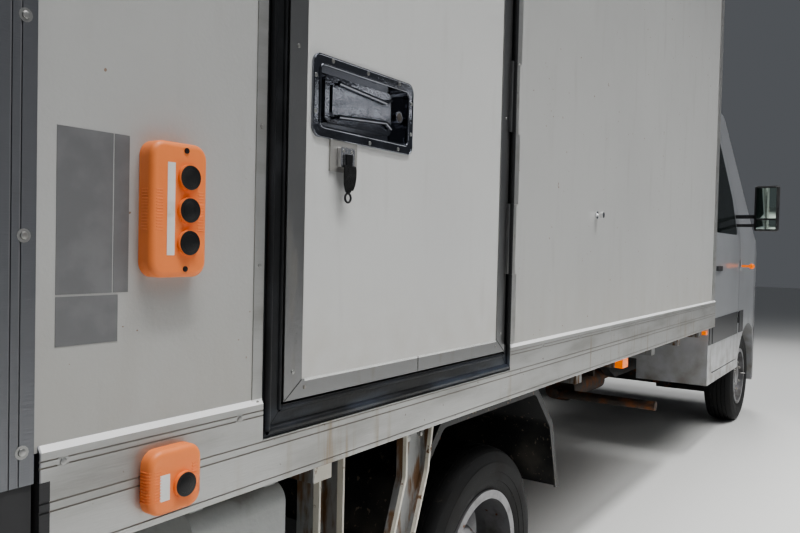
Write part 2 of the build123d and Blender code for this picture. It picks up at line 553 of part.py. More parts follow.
# Openings of the cab body and the outlines of what fills them.
DOOR_SIDE = [(CAB_DOOR_X0, CAB_DOOR_Z0, 60), (CAB_DOOR_X0, CAB_DOOR_TOP_Z, 90), (1700, CAB_DOOR_TOP_Z, 100),
             (CAB_DOOR_X1, 1640, 60), (CAB_DOOR_X1, CAB_DOOR_Z0, 50)]
NARROW_FRONT = [(a - CAB_DOOR_GAP if a > 0 else a + CAB_DOOR_GAP, b, r) for a, b, r in INSIDE_FRONT]
DOOR_REACH = (CAB_HALF_W - 226, CAB_HALF_W + 14)
door_hole = grown_slab_y(DOOR_SIDE, CAB_DOOR_GAP, *DOOR_REACH) - slab_x(NARROW_FRONT, 1000, 2700)
SCREEN_SIDE = [(1905, 2275, 0), (2600, 1462, 0), (2800, 1462, 0), (2100, 2330, 0)]
SCREEN_HALF_W = CAB_HALF_W - 216
BONNET_SIDE = [(2740, 1600, 0), (2740, 1372, 0), (3120, 1245, 150), (3300, 1080, 0), (3480, 1080, 0),
               (3480, 1600, 0)]
BONNET_HALF_W = CAB_HALF_W - 146
BUMPER_SIDE = [(2930, 200, 0), (2930, 690, 0), (3330, 690, 0), (3330, 780, 0), (3480, 780, 0),
               (3480, 200, 0)]
GRILLE_SIDE = [(3290, 780, 0), (3290, 1072, 0), (3480, 1072, 0), (3480, 780, 0)]
LAMP_SIDE = [(3100, 784, 0), (3060, 1072, 0), (3480, 1072, 0), (3480, 784, 0)]
screen_hole = slab_y(SCREEN_SIDE, -SCREEN_HALF_W, SCREEN_HALF_W)
bonnet_zone = slab_y(BONNET_SIDE, -BONNET_HALF_W, BONNET_HALF_W)
bumper_zone = slab_y(BUMPER_SIDE, -CAB_HALF_W - 4, CAB_HALF_W + 4)
grille_zone = slab_y(GRILLE_SIDE, -GRILLE_HALF_W, GRILLE_HALF_W)
lamp_zone = both(slab_y(LAMP_SIDE, GRILLE_HALF_W + 4, CAB_HALF_W + 4))

shell = cab_outer - cabin - bay - under - arch - strut_room - both(door_hole) - screen_hole
shell = shell - grown_slab_y(BONNET_SIDE, 6, -BONNET_HALF_W - 6, BONNET_HALF_W + 6)
shell = shell - grown_slab_y(BUMPER_SIDE, 4, -CAB_HALF_W - 4, CAB_HALF_W + 4)
shell = shell - slab_y(GRILLE_SIDE, -GRILLE_HALF_W - 2, GRILLE_HALF_W + 2)
shell = shell - both(slab_y(LAMP_SIDE, GRILLE_HALF_W + 2, CAB_HALF_W + 4))
for x in [1200, 2300]:
    shell = shell + both(block(x, x + 60, RAIL_IN_Y + 5, RAIL_OUT_FACE_Y - 5, 590, 610))

# Cladding band along the sides at hub height, with bevelled ends.
BAND_Z = (725.0, 885.0)
BAND_PROUD = 6.0


def band(x0, x1):
    plan = [(x0, CAB_HALF_W - 2, 0), (x1, CAB_HALF_W - 2, 0), (x1 - 8, CAB_HALF_W + BAND_PROUD, 0),
            (x0 + 8, CAB_HALF_W + BAND_PROUD, 0)]
    return slab_z(plan, *BAND_Z)


shell = shell + both(band(CAB_REAR_X + 6, CAB_DOOR_X0 - CAB_DOOR_GAP - 3) + band(CAB_DOOR_X1 + 30, 2240))

# Door hinges: fixed lugs and pins on the body.
LUG_Y = (CAB_HALF_W - 1, CAB_HINGE_Y)
for z in CAB_HINGE_Z:
    z0 = z + CAB_HINGE_LEN + 1
    z1 = z + 2 * CAB_HINGE_LEN
    lug = block(CAB_HINGE_X, CAB_HINGE_X + 22, *LUG_Y, z0, z1)
    lug = lug + rod_z(CAB_HINGE_X, CAB_HINGE_Y, CAB_HINGE_R, z0, z1)
    shell = shell + both(lug + rod_z(CAB_HINGE_X, CAB_HINGE_Y, CAB_PIN_R, z, z1))
for y in BONNET_HINGE_YS:
    lug = block(2725, BONNET_HINGE_X, y + 21, y + 40, BONNET_HINGE_Z - 8, BONNET_HINGE_Z)
    lug = lug + rod_y(BONNET_HINGE_X, BONNET_HINGE_Z, 5, y + 21, y + 40)
    shell = shell - rod_y(BONNET_HINGE_X, BONNET_HINGE_Z, 9, y - 1, y + 20.5)
    shell = shell + lug + rod_y(BONNET_HINGE_X, BONNET_HINGE_Z, CAB_PIN_R, y, y + 40)
save("cab_shell", shell)

# Bonnet over the engine bay with its two hinge knuckles.
BONNET_INSIDE = [(2700, 1365, 0), (3110, 1228, 150), (3270, 1070, 0), (3270, 900, 0), (2600, 900, 0)]
bonnet = (bonnet_zone & cab_outer) - slab_y(BONNET_INSIDE, -BONNET_HALF_W - 10, BONNET_HALF_W + 10)
for y in BONNET_HINGE_YS:
    lug = block(BONNET_HINGE_X, 2752, y, y + 20, BONNET_HINGE_Z - 12, BONNET_HINGE_Z - 2)
    lug = lug + rod_y(BONNET_HINGE_X, BONNET_HINGE_Z, 5, y, y + 20)
    bonnet = bonnet - rod_y(BONNET_HINGE_X, BONNET_HINGE_Z, 9, y + 20.5, y + 41)
    bonnet = bonnet + (lug - rod_y(BONNET_HINGE_X, BONNET_HINGE_Z, CAB_PIN_R + PIN_GAP, y - 1, y + 21))
save("bonnet", bonnet)

# Front bumper shell with its lower intake, fog-lamp pockets and blank plate, and the slotted grille.
INTAKE_Z = (372.0, 500.0)
INTAKE_HALF_W = 470.0
INTAKE_BARS = 3
FOG_Y = 690.0
FOG_Z = 430.0
FOG_R = 46.0
PLATE_HALF_W = 262.0
PLATE_Z = (548.0, 660.0)
bumper = (bumper_zone & cab_outer) - slab_z(CAB_PLAN_INSIDE, 290, 800)
bumper = bumper - both(rod_y(FRONT_AXLE_X, TYRE_R, ARCH_R + 4, 500, CAB_HALF_W + 14))
bumper = bumper - slab_x([(-INTAKE_HALF_W, INTAKE_Z[0], 30), (INTAKE_HALF_W, INTAKE_Z[0], 30),
                          (INTAKE_HALF_W - 40, INTAKE_Z[1], 30), (40 - INTAKE_HALF_W, INTAKE_Z[1], 30)],
                         3300, 3480)
for z in even(INTAKE_Z[0] + 26, INTAKE_Z[1] - 26, INTAKE_BARS):
    bumper = bumper + block(3426, 3444, -INTAKE_HALF_W - 10, INTAKE_HALF_W + 10, z - 6, z + 6)
bumper = bumper - both(rod_x(FOG_Y, FOG_Z, FOG_R, 3300, 3480))
bumper = bumper + block(3400, 3458, -PLATE_HALF_W, PLATE_HALF_W, *PLATE_Z)
GRILLE_INSIDE = [(3200, 770, 0), (3200, 1050, 0), (3345, 1050, 0), (3392, 770, 0)]
grille = (grille_zone & cab_outer) - slab_y(GRILLE_INSIDE, 20 - GRILLE_HALF_W, GRILLE_HALF_W - 20)
for i in range(GRILLE_SLOTS):
    z = 806 + GRILLE_SLOT_PITCH * i
    grille = grille - both(block(3300, 3480, 18, GRILLE_HALF_W - 55, z, z + GRILLE_SLOT_H))
save("front_bumper", bumper, grille)

# Headlamps: clear outer lens shells with reflector cups on a back plate.
LAMP_ROOM_Z = (812.0, 1048.0)
LAMP_ROOM_SIDE = [(3000, LAMP_ROOM_Z[0], 0), (3000, LAMP_ROOM_Z[1], 0), (3352, LAMP_ROOM_Z[1], 0),
                  (3392, LAMP_ROOM_Z[0], 0)]
LAMP_IN_Y = GRILLE_HALF_W + 30
# Reflector cups: distance from the middle, height and radius.
LAMP_CUPS = [(700, 970, 58), (670, 858, 36)]
lamp_room = slab_z(CAB_PLAN_INSIDE, *LAMP_ROOM_Z) & slab_y(LAMP_ROOM_SIDE, -CAB_HALF_W, CAB_HALF_W)
headlamps = (lamp_zone & cab_outer) - (lamp_room & both(block(3000, 3480, LAMP_IN_Y, CAB_HALF_W,
                                                              *LAMP_ROOM_Z)))
for y, z, r in LAMP_CUPS:
    headlamps = headlamps + both(rod_x(y, z, r, 3180, 3250) - rod_x(y, z, r - 6, 3200, 3251))
headlamps = headlamps + both(block(3170, 3182, LAMP_IN_Y - 10, 800, *LAMP_ROOM_Z))
save("headlamps", headlamps)

GLASS_T = 10.0
screen_slope = math.atan2(2300 - 1430, 2690 - 1960)
screen_back = Pos(-GLASS_T * math.sin(screen_slope), 0, -GLASS_T * math.cos(screen_slope)) * cab_outer
windscreen = (grown_slab_y(SCREEN_SIDE, -PIN_GAP, PIN_GAP - SCREEN_HALF_W,
                           SCREEN_HALF_W - PIN_GAP) & cab_outer) - screen_back
save("windscreen", windscreen)

# Cab doors with their window openings, glass and mirrors; the left one is drawn, the right one mirrored.
door = (slab_y(DOOR_SIDE, DOOR_REACH[0], CAB_HALF_W + 4) & cab_outer) - slab_x(INSIDE_FRONT, 1000, 2700)
WINDOW_SIDE = [(1240, 1440, 40), (1240, 2150, 60), (1650, 2150, 60), (1925, 1700, 40), (1960, 1440, 40)]
door = door - slab_y(WINDOW_SIDE, DOOR_REACH[0], CAB_HALF_W + 4) + band(CAB_DOOR_X0 + 4, CAB_HINGE_X - 34)
SIDE_GLASS_T = 8.0
glass_back = slab_y([(1100, 1300, 0), (1100, 2300, 0), (2100, 2300, 0), (2100, 1300, 0)], 500,
                    CAB_HALF_W + 4)
glass = slab_y(WINDOW_SIDE, DOOR_REACH[0], CAB_HALF_W + 4) & cab_outer
glass = glass - (Pos(0, -SIDE_GLASS_T, 0) * (glass_back & slab_x(CAB_FRONT, 1060, 3480)))
for z in CAB_HINGE_Z:
    strap = block(CAB_HINGE_X - 24, CAB_HINGE_X, CAB_HALF_W - 1, CAB_HINGE_Y, z, z + CAB_HINGE_LEN)
    strap = strap + rod_z(CAB_HINGE_X, CAB_HINGE_Y, CAB_HINGE_R, z, z + CAB_HINGE_LEN)
    bore = rod_z(CAB_HINGE_X, CAB_HINGE_Y, CAB_PIN_R + PIN_GAP, z - 1, z + CAB_HINGE_LEN + 1)
    door = door + strap - bore
HANDLE_X = (1235.0, 1405.0)
HANDLE_Z = (1190.0, 1222.0)
handle = slab_z([(HANDLE_X[0], CAB_HALF_W - 2, 0), (HANDLE_X[1], CAB_HALF_W - 2, 0),
                 (HANDLE_X[1] - 14, CAB_HALF_W + 12, 8), (HANDLE_X[0] + 14, CAB_HALF_W + 12, 8)],
                *HANDLE_Z)
door = door + handle
save("cab_door_left", door)
save("cab_door_right", mirrored(door))
save("door_glass_left", glass)
save("door_glass_right", mirrored(glass))

# Mirrors: two arms from the door frame and a rounded head.
MIRROR_Y = (CAB_HALF_W + 99, CAB_HALF_W + 259)
MIRROR_X = (1945.0, 2015.0)
MIRROR_Z = (1470.0, 1790.0)
mirror_arm = block(1960, 1990, CAB_HALF_W - 36, MIRROR_Y[0] + 25, 1560, 1585)
mirror_arm = mirror_arm + block(1960, 1990, CAB_HALF_W - 31, MIRROR_Y[0] + 25, 1500, 1520)
mirror_head = slab_z([(MIRROR_X[0], MIRROR_Y[0], 20), (MIRROR_X[1], MIRROR_Y[0], 30),
                      (MIRROR_X[1], MIRROR_Y[1], 40), (MIRROR_X[0], MIRROR_Y[1], 20)], *MIRROR_Z)
mirror_head = fillet(mirror_head.edges().group_by(Axis.Z)[-1] + mirror_head.edges().group_by(Axis.Z)[0], 14)
mirror_arm = mirror_arm - cab_outer
save("mirror_left", mirror_arm, mirror_head)
save("mirror_right", mirrored(mirror_arm + mirror_head))

# Seats: cushion, back, base and headrest for the driver, the outer passenger and the middle place.
CUSHION_Z = (780.0, 930.0)
# Seats: side edges across the cab and cushion front.
SEATS = [(270, 780, 1750), (-780, -270, 1750), (-265, 265, 1700)]
BACK_SIDE = [(1180, 900, 20), (1300, 900, 20), (1205, 1560, 40), (1130, 1560, 30)]
REST_SIDE = [(1128, 1590, 25), (1208, 1590, 25), (1196, 1750, 30), (1132, 1750, 30)]
REST_HALF_W = 125.0
seats = []
for y0, y1, front_x in SEATS:
    middle = (y0 + y1) / 2
    seats.append(slab_x([(y0, CUSHION_Z[0], 40), (y1, CUSHION_Z[0], 40), (y1, CUSHION_Z[1], 40),
                         (y0, CUSHION_Z[1], 40)], 1280, front_x))
    seats.append(slab_y(BACK_SIDE, y0 + 20, y1 - 20))
    seats.append(block(1320, 1650, y0 + 60, y1 - 60, 640, CUSHION_Z[0] + 5))
    seats.append(slab_y(REST_SIDE, middle - REST_HALF_W, middle + REST_HALF_W))
    for side in [-60, 60]:
        seats.append(rod_z(1168, middle + side, 7, 1540, 1600))
save("seats", *seats)

# Dashboard with binnacle hood, column and three-spoke steering wheel.
DASH_SIDE = [(2180, 1150, 60), (2200, 1380, 60), (2330, 1440, 60), (2559.7, 1480, 0), (2559.7, 935, 0),
             (2330, 935, 60)]
DRIVER_Y = 475.0
WHEEL_X = 1990.0
WHEEL_Z = 1300.0
WHEEL_R = 185.0
WHEEL_TILT = 28.0
dash = slab_y(DASH_SIDE, 15 - INSIDE_HALF_W, INSIDE_HALF_W - 15)
hood = slab_y([(2150, 1385, 20), (2170, 1475, 60), (2330, 1500, 60), (2400, 1440, 0), (2210, 1370, 0)],
              DRIVER_Y - 190, DRIVER_Y + 190)
column = bar_between((WHEEL_X + 20, WHEEL_Z - 10), (2330, 1120), 60, 30, DRIVER_Y - 30, DRIVER_Y + 30)
wheel = Torus(WHEEL_R, 16) + Cylinder(45, 40) + Box(28, 2 * WHEEL_R, 14) + Pos(-WHEEL_R / 2, 0,
                                                                               0) * Box(WHEEL_R, 28, 14)
wheel = Pos(WHEEL_X, DRIVER_Y, WHEEL_Z) * Rot(0, -90 + WHEEL_TILT, 0) * wheel
save("dashboard", dash, hood, column, wheel)

# Insulated body: load floor, side walls with the door opening, roof and front wall.
BULKHEAD_X = BODY_FRONT_X - PANEL_T
save("box_floor", block(POST_FRONT_X + 2, BULKHEAD_X, -INNER_HALF_W, INNER_HALF_W, FLOOR_BOTTOM_Z,
                        FLOOR_TOP_Z))
left_wall = block(POST_FRONT_X, FRONT_POST_X, INNER_HALF_W, BODY_HALF_W, RAIL_CHAMFER_Z, ROOF_BOTTOM_Z)
right_wall = mirrored(left_wall) - block(SEAL_X0 - STRIP_W, SEAL_X1 + STRIP_W, -BODY_HALF_W - 10,
                                         10 - INNER_HALF_W, 900, SEAL_Z1 + STRIP_W)
bulkhead = block(BULKHEAD_X, BODY_FRONT_X, 20 - INNER_HALF_W, INNER_HALF_W - 20, FLOOR_BOTTOM_Z,
                 ROOF_BOTTOM_Z)
roof = block(POST_FRONT_X + 2, BODY_FRONT_X - 25, -INNER_HALF_W, INNER_HALF_W, ROOF_BOTTOM_Z, BODY_TOP_Z - 6)
save("box_panels", left_wall, right_wall, bulkhead, roof)

# Aluminium profiles: grooved bottom rails and rear posts, rear frame, top rails, front posts, door
# strips.
RAIL_START_X = BODY_REAR_X + 75
RAIL_SECTION = [(INNER_HALF_W, FLOOR_BOTTOM_Z, 0), (RAIL_OUT_Y, FLOOR_BOTTOM_Z, 4),
                (RAIL_OUT_Y, RAIL_CHAMFER_Z, 0), (BODY_HALF_W, RAIL_TOP_Z, 0),
                (BODY_HALF_W, RAIL_CHAMFER_Z, 0), (INNER_HALF_W, RAIL_CHAMFER_Z, 0)]
bottom_rail = slab_x(RAIL_SECTION, RAIL_START_X, BODY_FRONT_X)
for z, width in RAIL_GROOVES:
    bottom_rail = bottom_rail - block(RAIL_START_X, BODY_FRONT_X, RAIL_OUT_Y - GROOVE_DEPTH,
                                      RAIL_OUT_Y + 1, z, z + width)
rails = both(bottom_rail) - block(SEAL_X0, SEAL_X1, -RAIL_OUT_Y - 14, 22 - BODY_HALF_W, SEAL_Z0,
                                  RAIL_TOP_Z + 80)
rails = rails - block(SEAL_X0, SEAL_X1, -RAIL_OUT_Y - 14, 1 - INNER_HALF_W, FLOOR_TOP_Z, RAIL_TOP_Z + 80)
post = slab_z([(BODY_REAR_X, INNER_HALF_W, 0), (POST_FRONT_X, INNER_HALF_W, 0),
               (POST_FRONT_X, POST_OUT_Y, 0), (BODY_REAR_X, POST_OUT_Y, 8)], POST_FOOT_Z, BODY_TOP_Z)
for ahead, width in POST_GROOVES:
    x = BODY_REAR_X + ahead
    post = post - block(x, x + width, POST_OUT_Y - GROOVE_DEPTH, POST_OUT_Y + 1, POST_FOOT_Z, BODY_TOP_Z)
foot = block(BODY_REAR_X + 4, POST_FRONT_X - 2, INNER_HALF_W + 4, POST_OUT_Y - 3, 780, POST_FOOT_Z)
posts = both(post + foot)
for z0, z1 in [(905, FLOOR_TOP_Z), (BODY_TOP_Z - 130, BODY_TOP_Z)]:
    posts = posts + block(BODY_REAR_X, POST_FRONT_X + 2, -INNER_HALF_W, INNER_HALF_W, z0, z1)
top_rail = slab_x([(INNER_HALF_W, ROOF_BOTTOM_Z, 0), (POST_OUT_Y, ROOF_BOTTOM_Z, 0),
                   (POST_OUT_Y, BODY_TOP_Z, 14), (INNER_HALF_W, BODY_TOP_Z, 0)], POST_FRONT_X,
                  BODY_FRONT_X)
front_post = slab_z([(FRONT_POST_X, INNER_HALF_W - 20, 0), (BODY_FRONT_X, INNER_HALF_W - 20, 0),
                     (BODY_FRONT_X, POST_OUT_Y, 12), (FRONT_POST_X, POST_OUT_Y, 0)], RAIL_CHAMFER_Z,
                    ROOF_BOTTOM_Z)
front_top = block(BODY_FRONT_X - 25, BODY_FRONT_X, -INNER_HALF_W, INNER_HALF_W, ROOF_BOTTOM_Z, BODY_TOP_Z)
strips = []
for x in [SEAL_X0 - STRIP_W, SEAL_X1]:
    strips.append(block(x, x + STRIP_W, DOOR_FACE_Y, DOOR_BACK_Y, RAIL_CHAMFER_Z, SEAL_Z1 + STRIP_W))
strips.append(block(SEAL_X0, SEAL_X1, DOOR_FACE_Y, DOOR_BACK_Y, SEAL_Z1, SEAL_Z1 + STRIP_W))
door_hinge_z = even(DOOR_Z0 + 20, DOOR_Z1 - 20, HINGE_LINES)
flap_hinge_y = even(160 - BODY_HALF_W, BODY_HALF_W - 160, HINGE_LINES)
fixed_knuckles = []
for i in range(0, HINGE_LINES - 1, 2):
    z0 = door_hinge_z[i]
    z1 = door_hinge_z[i + 1]
    hinge_leaf = block(DOOR_HINGE_X, SEAL_X1 + 10, DOOR_HINGE_Y - 2, DOOR_HINGE_Y + 2, z0, z1)
    hinge_leaf = hinge_leaf + block(SEAL_X1, SEAL_X1 + 10, DOOR_HINGE_Y - 2, DOOR_FACE_Y + 2, z0, z1)
    fixed_knuckles.append(hinge_leaf + rod_z(DOOR_HINGE_X, DOOR_HINGE_Y, DOOR_HINGE_R, z0, z1))
    y0 = flap_hinge_y[i]
    y1 = flap_hinge_y[i + 1]
    flap_barrel = rod_y(FLAP_HINGE_X, FLAP_HINGE_Z, DOOR_HINGE_R, y0, y1)
    fixed_knuckles.append(flap_barrel + block(FLAP_HINGE_X, BODY_REAR_X, y0, y1, FLAP_HINGE_Z - 3,
                                              FLAP_HINGE_Z + 7))
fixed_knuckles.append(rod_z(DOOR_HINGE_X, DOOR_HINGE_Y, DOOR_PIN_R, door_hinge_z[0], door_hinge_z[-1]))
fixed_knuckles.append(rod_y(FLAP_HINGE_X, FLAP_HINGE_Z, DOOR_PIN_R, flap_hinge_y[0], flap_hinge_y[-1]))

# Knob in the right wall that holds the opened side door: rose, neck and head.
knob = rod_y(KNOB_X, KNOB_Z, 14, -BODY_HALF_W - 4, -BODY_HALF_W)
knob = knob + rod_y(KNOB_X, KNOB_Z, 5, -BODY_HALF_W - 18, -BODY_HALF_W - 2)
knob = knob + rod_y(KNOB_X, KNOB_Z, 11, -BODY_HALF_W - 28, -BODY_HALF_W - 16)
save("box_frame", knob, rails, posts, both(top_rail), both(front_post), front_top, *strips, *fixed_knuckles)

# Side door leaf: panel with a proud frame of profiles, a pocket for the latch and hinge knuckles.
leaf = block(DOOR_X0, DOOR_X1, DOOR_FACE_Y - DOOR_FRAME_PROUD, DOOR_BACK_Y, DOOR_Z0, DOOR_Z1)
leaf = leaf - block(DOOR_X0 + DOOR_SIDE_FRAME_W, DOOR_X1 - DOOR_SIDE_FRAME_W,
                    DOOR_FACE_Y - DOOR_FRAME_PROUD - 1, DOOR_FACE_Y, DOOR_Z0 + DOOR_BOTTOM_FRAME_W,
                    DOOR_Z1 - DOOR_BOTTOM_FRAME_W)
leaf = leaf - plate_y(LATCH_X, LATCH_Z, LATCH_W - 2 * LATCH_FLANGE, LATCH_H - 2 * LATCH_FLANGE, 14,
                      DOOR_FACE_Y - 10, DOOR_FACE_Y + LATCH_PAN_DEPTH + 2)
moving_knuckles = []
for i in range(1, HINGE_LINES - 2, 2):
    z0 = door_hinge_z[i] + 1
    z1 = door_hinge_z[i + 1] - 1
    strap = block(DOOR_X1 - 10, DOOR_HINGE_X, DOOR_HINGE_Y - 2, DOOR_HINGE_Y + 2, z0, z1)
    strap = strap + block(DOOR_X1 - 10, DOOR_X1 - 4, DOOR_HINGE_Y - 2, DOOR_FACE_Y + 1, z0, z1)
    barrel = rod_z(DOOR_HINGE_X, DOOR_HINGE_Y, DOOR_HINGE_R, z0, z1)
    bore = rod_z(DOOR_HINGE_X, DOOR_HINGE_Y, DOOR_PIN_R + PIN_GAP, z0 - 1, z1 + 1)
    moving_knuckles.append((strap + barrel) - bore)
save("side_door", leaf, *moving_knuckles)
seal = block(SEAL_X0, SEAL_X1, DOOR_FACE_Y, 20 - BODY_HALF_W, SEAL_Z0, SEAL_Z1)
seal = seal - block(DOOR_X0 - DOOR_GAP, DOOR_X1 + DOOR_GAP, DOOR_FACE_Y - 8, 30 - BODY_HALF_W,
                    DOOR_Z0 - DOOR_GAP, DOOR_Z1 + DOOR_GAP)
save("side_door_seal", seal)

# Latch: pressed pan with a flange, its paddle and lock barrel, and below it a clasp with a strap.
pan_face_y = DOOR_FACE_Y + LATCH_PAN_DEPTH
latch = plate_y(LATCH_X, LATCH_Z, LATCH_W, LATCH_H, 20, DOOR_FACE_Y - 4, DOOR_FACE_Y)
latch = latch + plate_y(LATCH_X, LATCH_Z, LATCH_W - 2 * LATCH_FLANGE - 0.6,
                        LATCH_H - 2 * LATCH_FLANGE - 0.6, 14, DOOR_FACE_Y - 2, pan_face_y)
latch = latch - plate_y(LATCH_X, LATCH_Z, LATCH_W - 2 * LATCH_FLANGE - 8, LATCH_H - 2 * LATCH_FLANGE - 8, 11,
                        DOOR_FACE_Y - 6, pan_face_y - 3)
PADDLE_X = LATCH_X - 16
paddle = plate_y(PADDLE_X, LATCH_Z, 224, 92, 12, DOOR_FACE_Y + 4, pan_face_y)
paddle = paddle + slab_y([(PADDLE_X - 94, LATCH_Z - 34, 10), (PADDLE_X + 96, LATCH_Z - 20, 10),
                          (PADDLE_X + 96, LATCH_Z + 20, 10), (PADDLE_X - 94, LATCH_Z + 34, 10)],
                         DOOR_FACE_Y, DOOR_FACE_Y + 5)
lock_barrel = rod_y(LATCH_X + 122, LATCH_Z, 13, DOOR_FACE_Y - 1, pan_face_y)
CLASP_X = LATCH_X - 75
CLASP_TOP_Z = LATCH_Z - LATCH_H / 2
CLASP_W = 85.0
CLASP_H = 62.0
clasp = block(CLASP_X - CLASP_W / 2, CLASP_X + CLASP_W / 2, DOOR_FACE_Y - 4, DOOR_FACE_Y,
              CLASP_TOP_Z - CLASP_H, CLASP_TOP_Z + 1)
clasp = clasp + plate_y(CLASP_X, CLASP_TOP_Z - 33, 44, 40, 4, DOOR_FACE_Y - 14, DOOR_FACE_Y - 3)
STRAP_TOP_Z = CLASP_TOP_Z - 27
STRAP_FOOT_Z = CLASP_TOP_Z - 103
RING_R = 9.0
tongue = slab_y([(CLASP_X - 10, STRAP_TOP_Z, 0), (CLASP_X + 10, STRAP_TOP_Z, 0),
                 (CLASP_X + 7, STRAP_FOOT_Z, 6), (CLASP_X - 7, STRAP_FOOT_Z, 6)], DOOR_FACE_Y - 19,
                DOOR_FACE_Y - 13)
ring = Pos(CLASP_X, DOOR_FACE_Y - 16, STRAP_FOOT_Z - RING_R - 1) * Rot(90, 0, 0) * Torus(RING_R, 2.2)
save("side_door_latch", latch, paddle, lock_barrel, clasp, tongue + ring)

# Lift control boxes with rounded rims and collars round the push buttons.
CONTROL_FACE_Y = -BODY_HALF_W - CONTROL_T
RIM_ROUND = 9.0


def control_box(x, z0, z1, width, back_y, buttons):
    box = plate_y(x, (z0 + z1) / 2, width, z1 - z0, 24, CONTROL_FACE_Y, back_y)
    box = fillet(box.edges().filter_by_position(Axis.Y, CONTROL_FACE_Y - 0.5, CONTROL_FACE_Y + 0.5),
                 RIM_ROUND)
    for z in buttons:
        box = box + rod_y(BUTTON_X, z, BUTTON_COLLAR_R, CONTROL_FACE_Y - 6, CONTROL_FACE_Y + 2)
        box = box - rod_y(BUTTON_X, z, BUTTON_R, CONTROL_FACE_Y - 8, CONTROL_FACE_Y + 4)
    return box


upper_box = control_box(CONTROL_X, *CONTROL_Z, CONTROL_W, -BODY_HALF_W, CONTROL_BUTTONS)
lower_box = control_box(CONTROL_X + 1, *CONTROL_LOW_Z, CONTROL_LOW_W, -RAIL_OUT_Y, [CONTROL_LOW_BUTTON])
save("control_boxes", upper_box, lower_box)

# Lamps: side markers under the rail and at the cab's rear corner, stalk lamps, rear clusters.
MARKER_X = -802.0
marker = block(MARKER_X - 35, MARKER_X + 35, BODY_HALF_W - 30, BODY_HALF_W + 2, 822, FLOOR_BOTTOM_Z)
corner_marker = block(1004, 1044, CAB_HALF_W - 25, CAB_HALF_W, 796, 820)
corner_marker = corner_marker + block(1044, CAB_REAR_X, CAB_HALF_W - 18, CAB_HALF_W - 8, 800, 816)
stalk = rod_y(2085, 1216, 8, CAB_HALF_W + 0.2, CAB_HALF_W + 64) + Pos(2085, CAB_HALF_W + 76,
                                                                      1216) * Sphere(20)
cluster = slab_z([(BODY_REAR_X + 1, 702.3, 0), (-3330, 702.3, 0), (-3330, INNER_HALF_W + 3.7, 0),
                  (BODY_REAR_X + 1, INNER_HALF_W + 3.7, 0)], 690, 800)
for share in range(3):
    y0 = 712 + (INNER_HALF_W - 712) / 3 * share
    y1 = y0 + (INNER_HALF_W - 712) / 3 - 6
    cluster = cluster - (block(BODY_REAR_X, BODY_REAR_X + 4, y0, y1, 698, 792) - block(
        BODY_REAR_X, BODY_REAR_X + 5, y0 + 4, y1 - 4, 702, 788))
save("lamps", both(marker), both(corner_marker), both(stalk), both(cluster))

# Cooling unit over the cab: rounded housing with louvres and a guarded fan opening; evaporator inside
# the body.
UNIT_SIDE = [(BODY_FRONT_X, UNIT_Z0, 0), (1230, UNIT_Z0, UNIT_H * 0.11),
             (1340, UNIT_Z0 + UNIT_H * 0.22, UNIT_H * 0.15), (1310, UNIT_Z1 - UNIT_H * 0.15, UNIT_H * 0.2),
             (1180, UNIT_Z1, UNIT_H * 0.18), (BODY_FRONT_X, UNIT_Z1, 0)]
UNIT_PLAN = [(BODY_FRONT_X - 1, -UNIT_HALF_W, 0), (1230, -UNIT_HALF_W, 120), (1350, 80 - UNIT_HALF_W, 90),
             (1350, UNIT_HALF_W - 80, 90), (1230, UNIT_HALF_W, 120), (BODY_FRONT_X - 1, UNIT_HALF_W, 0)]
LOUVRE_Y = 510.0
LOUVRE_HALF_W = 180.0
GUARD_X = 1322.0
GUARD_SPOKES = 4
unit = slab_y(UNIT_SIDE, -UNIT_HALF_W, UNIT_HALF_W) & slab_z(UNIT_PLAN, UNIT_Z0 - 10, UNIT_Z1 + 10)
unit = unit - rod_x(0, FAN_Z, FAN_R + 12, 1150, 1400) + rod_x(0, FAN_Z, FAN_SHAFT_R, 1100, 1190)
LOUVRE_REACH = UNIT_H * 0.24
LOUVRE_HALF_H = UNIT_H * 0.015
for z in even(FAN_Z - LOUVRE_REACH, FAN_Z + LOUVRE_REACH, LOUVRE_COUNT):
    slot = block(1230, 1400, LOUVRE_Y - LOUVRE_HALF_W, LOUVRE_Y + LOUVRE_HALF_W, z - LOUVRE_HALF_H,
                 z + LOUVRE_HALF_H)
    unit = unit - both(slot)
guard_ring = rod_x(0, FAN_Z, FAN_R + 14, GUARD_X, GUARD_X + 8) - rod_x(0, FAN_Z, FAN_R - 2, GUARD_X - 1,
                                                                       GUARD_X + 9)
for i in range(GUARD_SPOKES):
    turn = 180 / GUARD_SPOKES * i
    guard_ring = guard_ring + Pos(GUARD_X + 4, 0, FAN_Z) * Rot(turn, 0, 0) * Box(6, 5, 2 * FAN_R + 10)
EVAPORATOR_SIDE = [(BULKHEAD_X, BODY_TOP_Z - 430, 0), (700, BODY_TOP_Z - 430, 30),
                   (560, BODY_TOP_Z - 270, 60), (560, ROOF_BOTTOM_Z, 0), (BULKHEAD_X, ROOF_BOTTOM_Z, 0)]
save("cooling_unit", unit + guard_ring, slab_y(EVAPORATOR_SIDE, -600, 600))

# Condenser fan: hub on the unit's shaft and pitched blades.
HUB_R = 45.0
BLADE_LEN = FAN_R - 40
BLADE_PITCH = 25.0
fan = rod_x(0, FAN_Z, HUB_R, FAN_X - 25, FAN_X + 25) - rod_x(0, FAN_Z, FAN_SHAFT_R + PIN_GAP, FAN_X - 35,
                                                             FAN_X + 7)
for i in range(BLADE_COUNT):
    blade = Pos(0, 0, HUB_R - 10 + BLADE_LEN / 2) * Rot(0, 0, BLADE_PITCH) * Box(8, 70, BLADE_LEN)
    fan = fan + Pos(FAN_X, 0, FAN_Z) * Rot(360 / BLADE_COUNT * i, 0, 0) * blade
save("condenser_fan", fan)

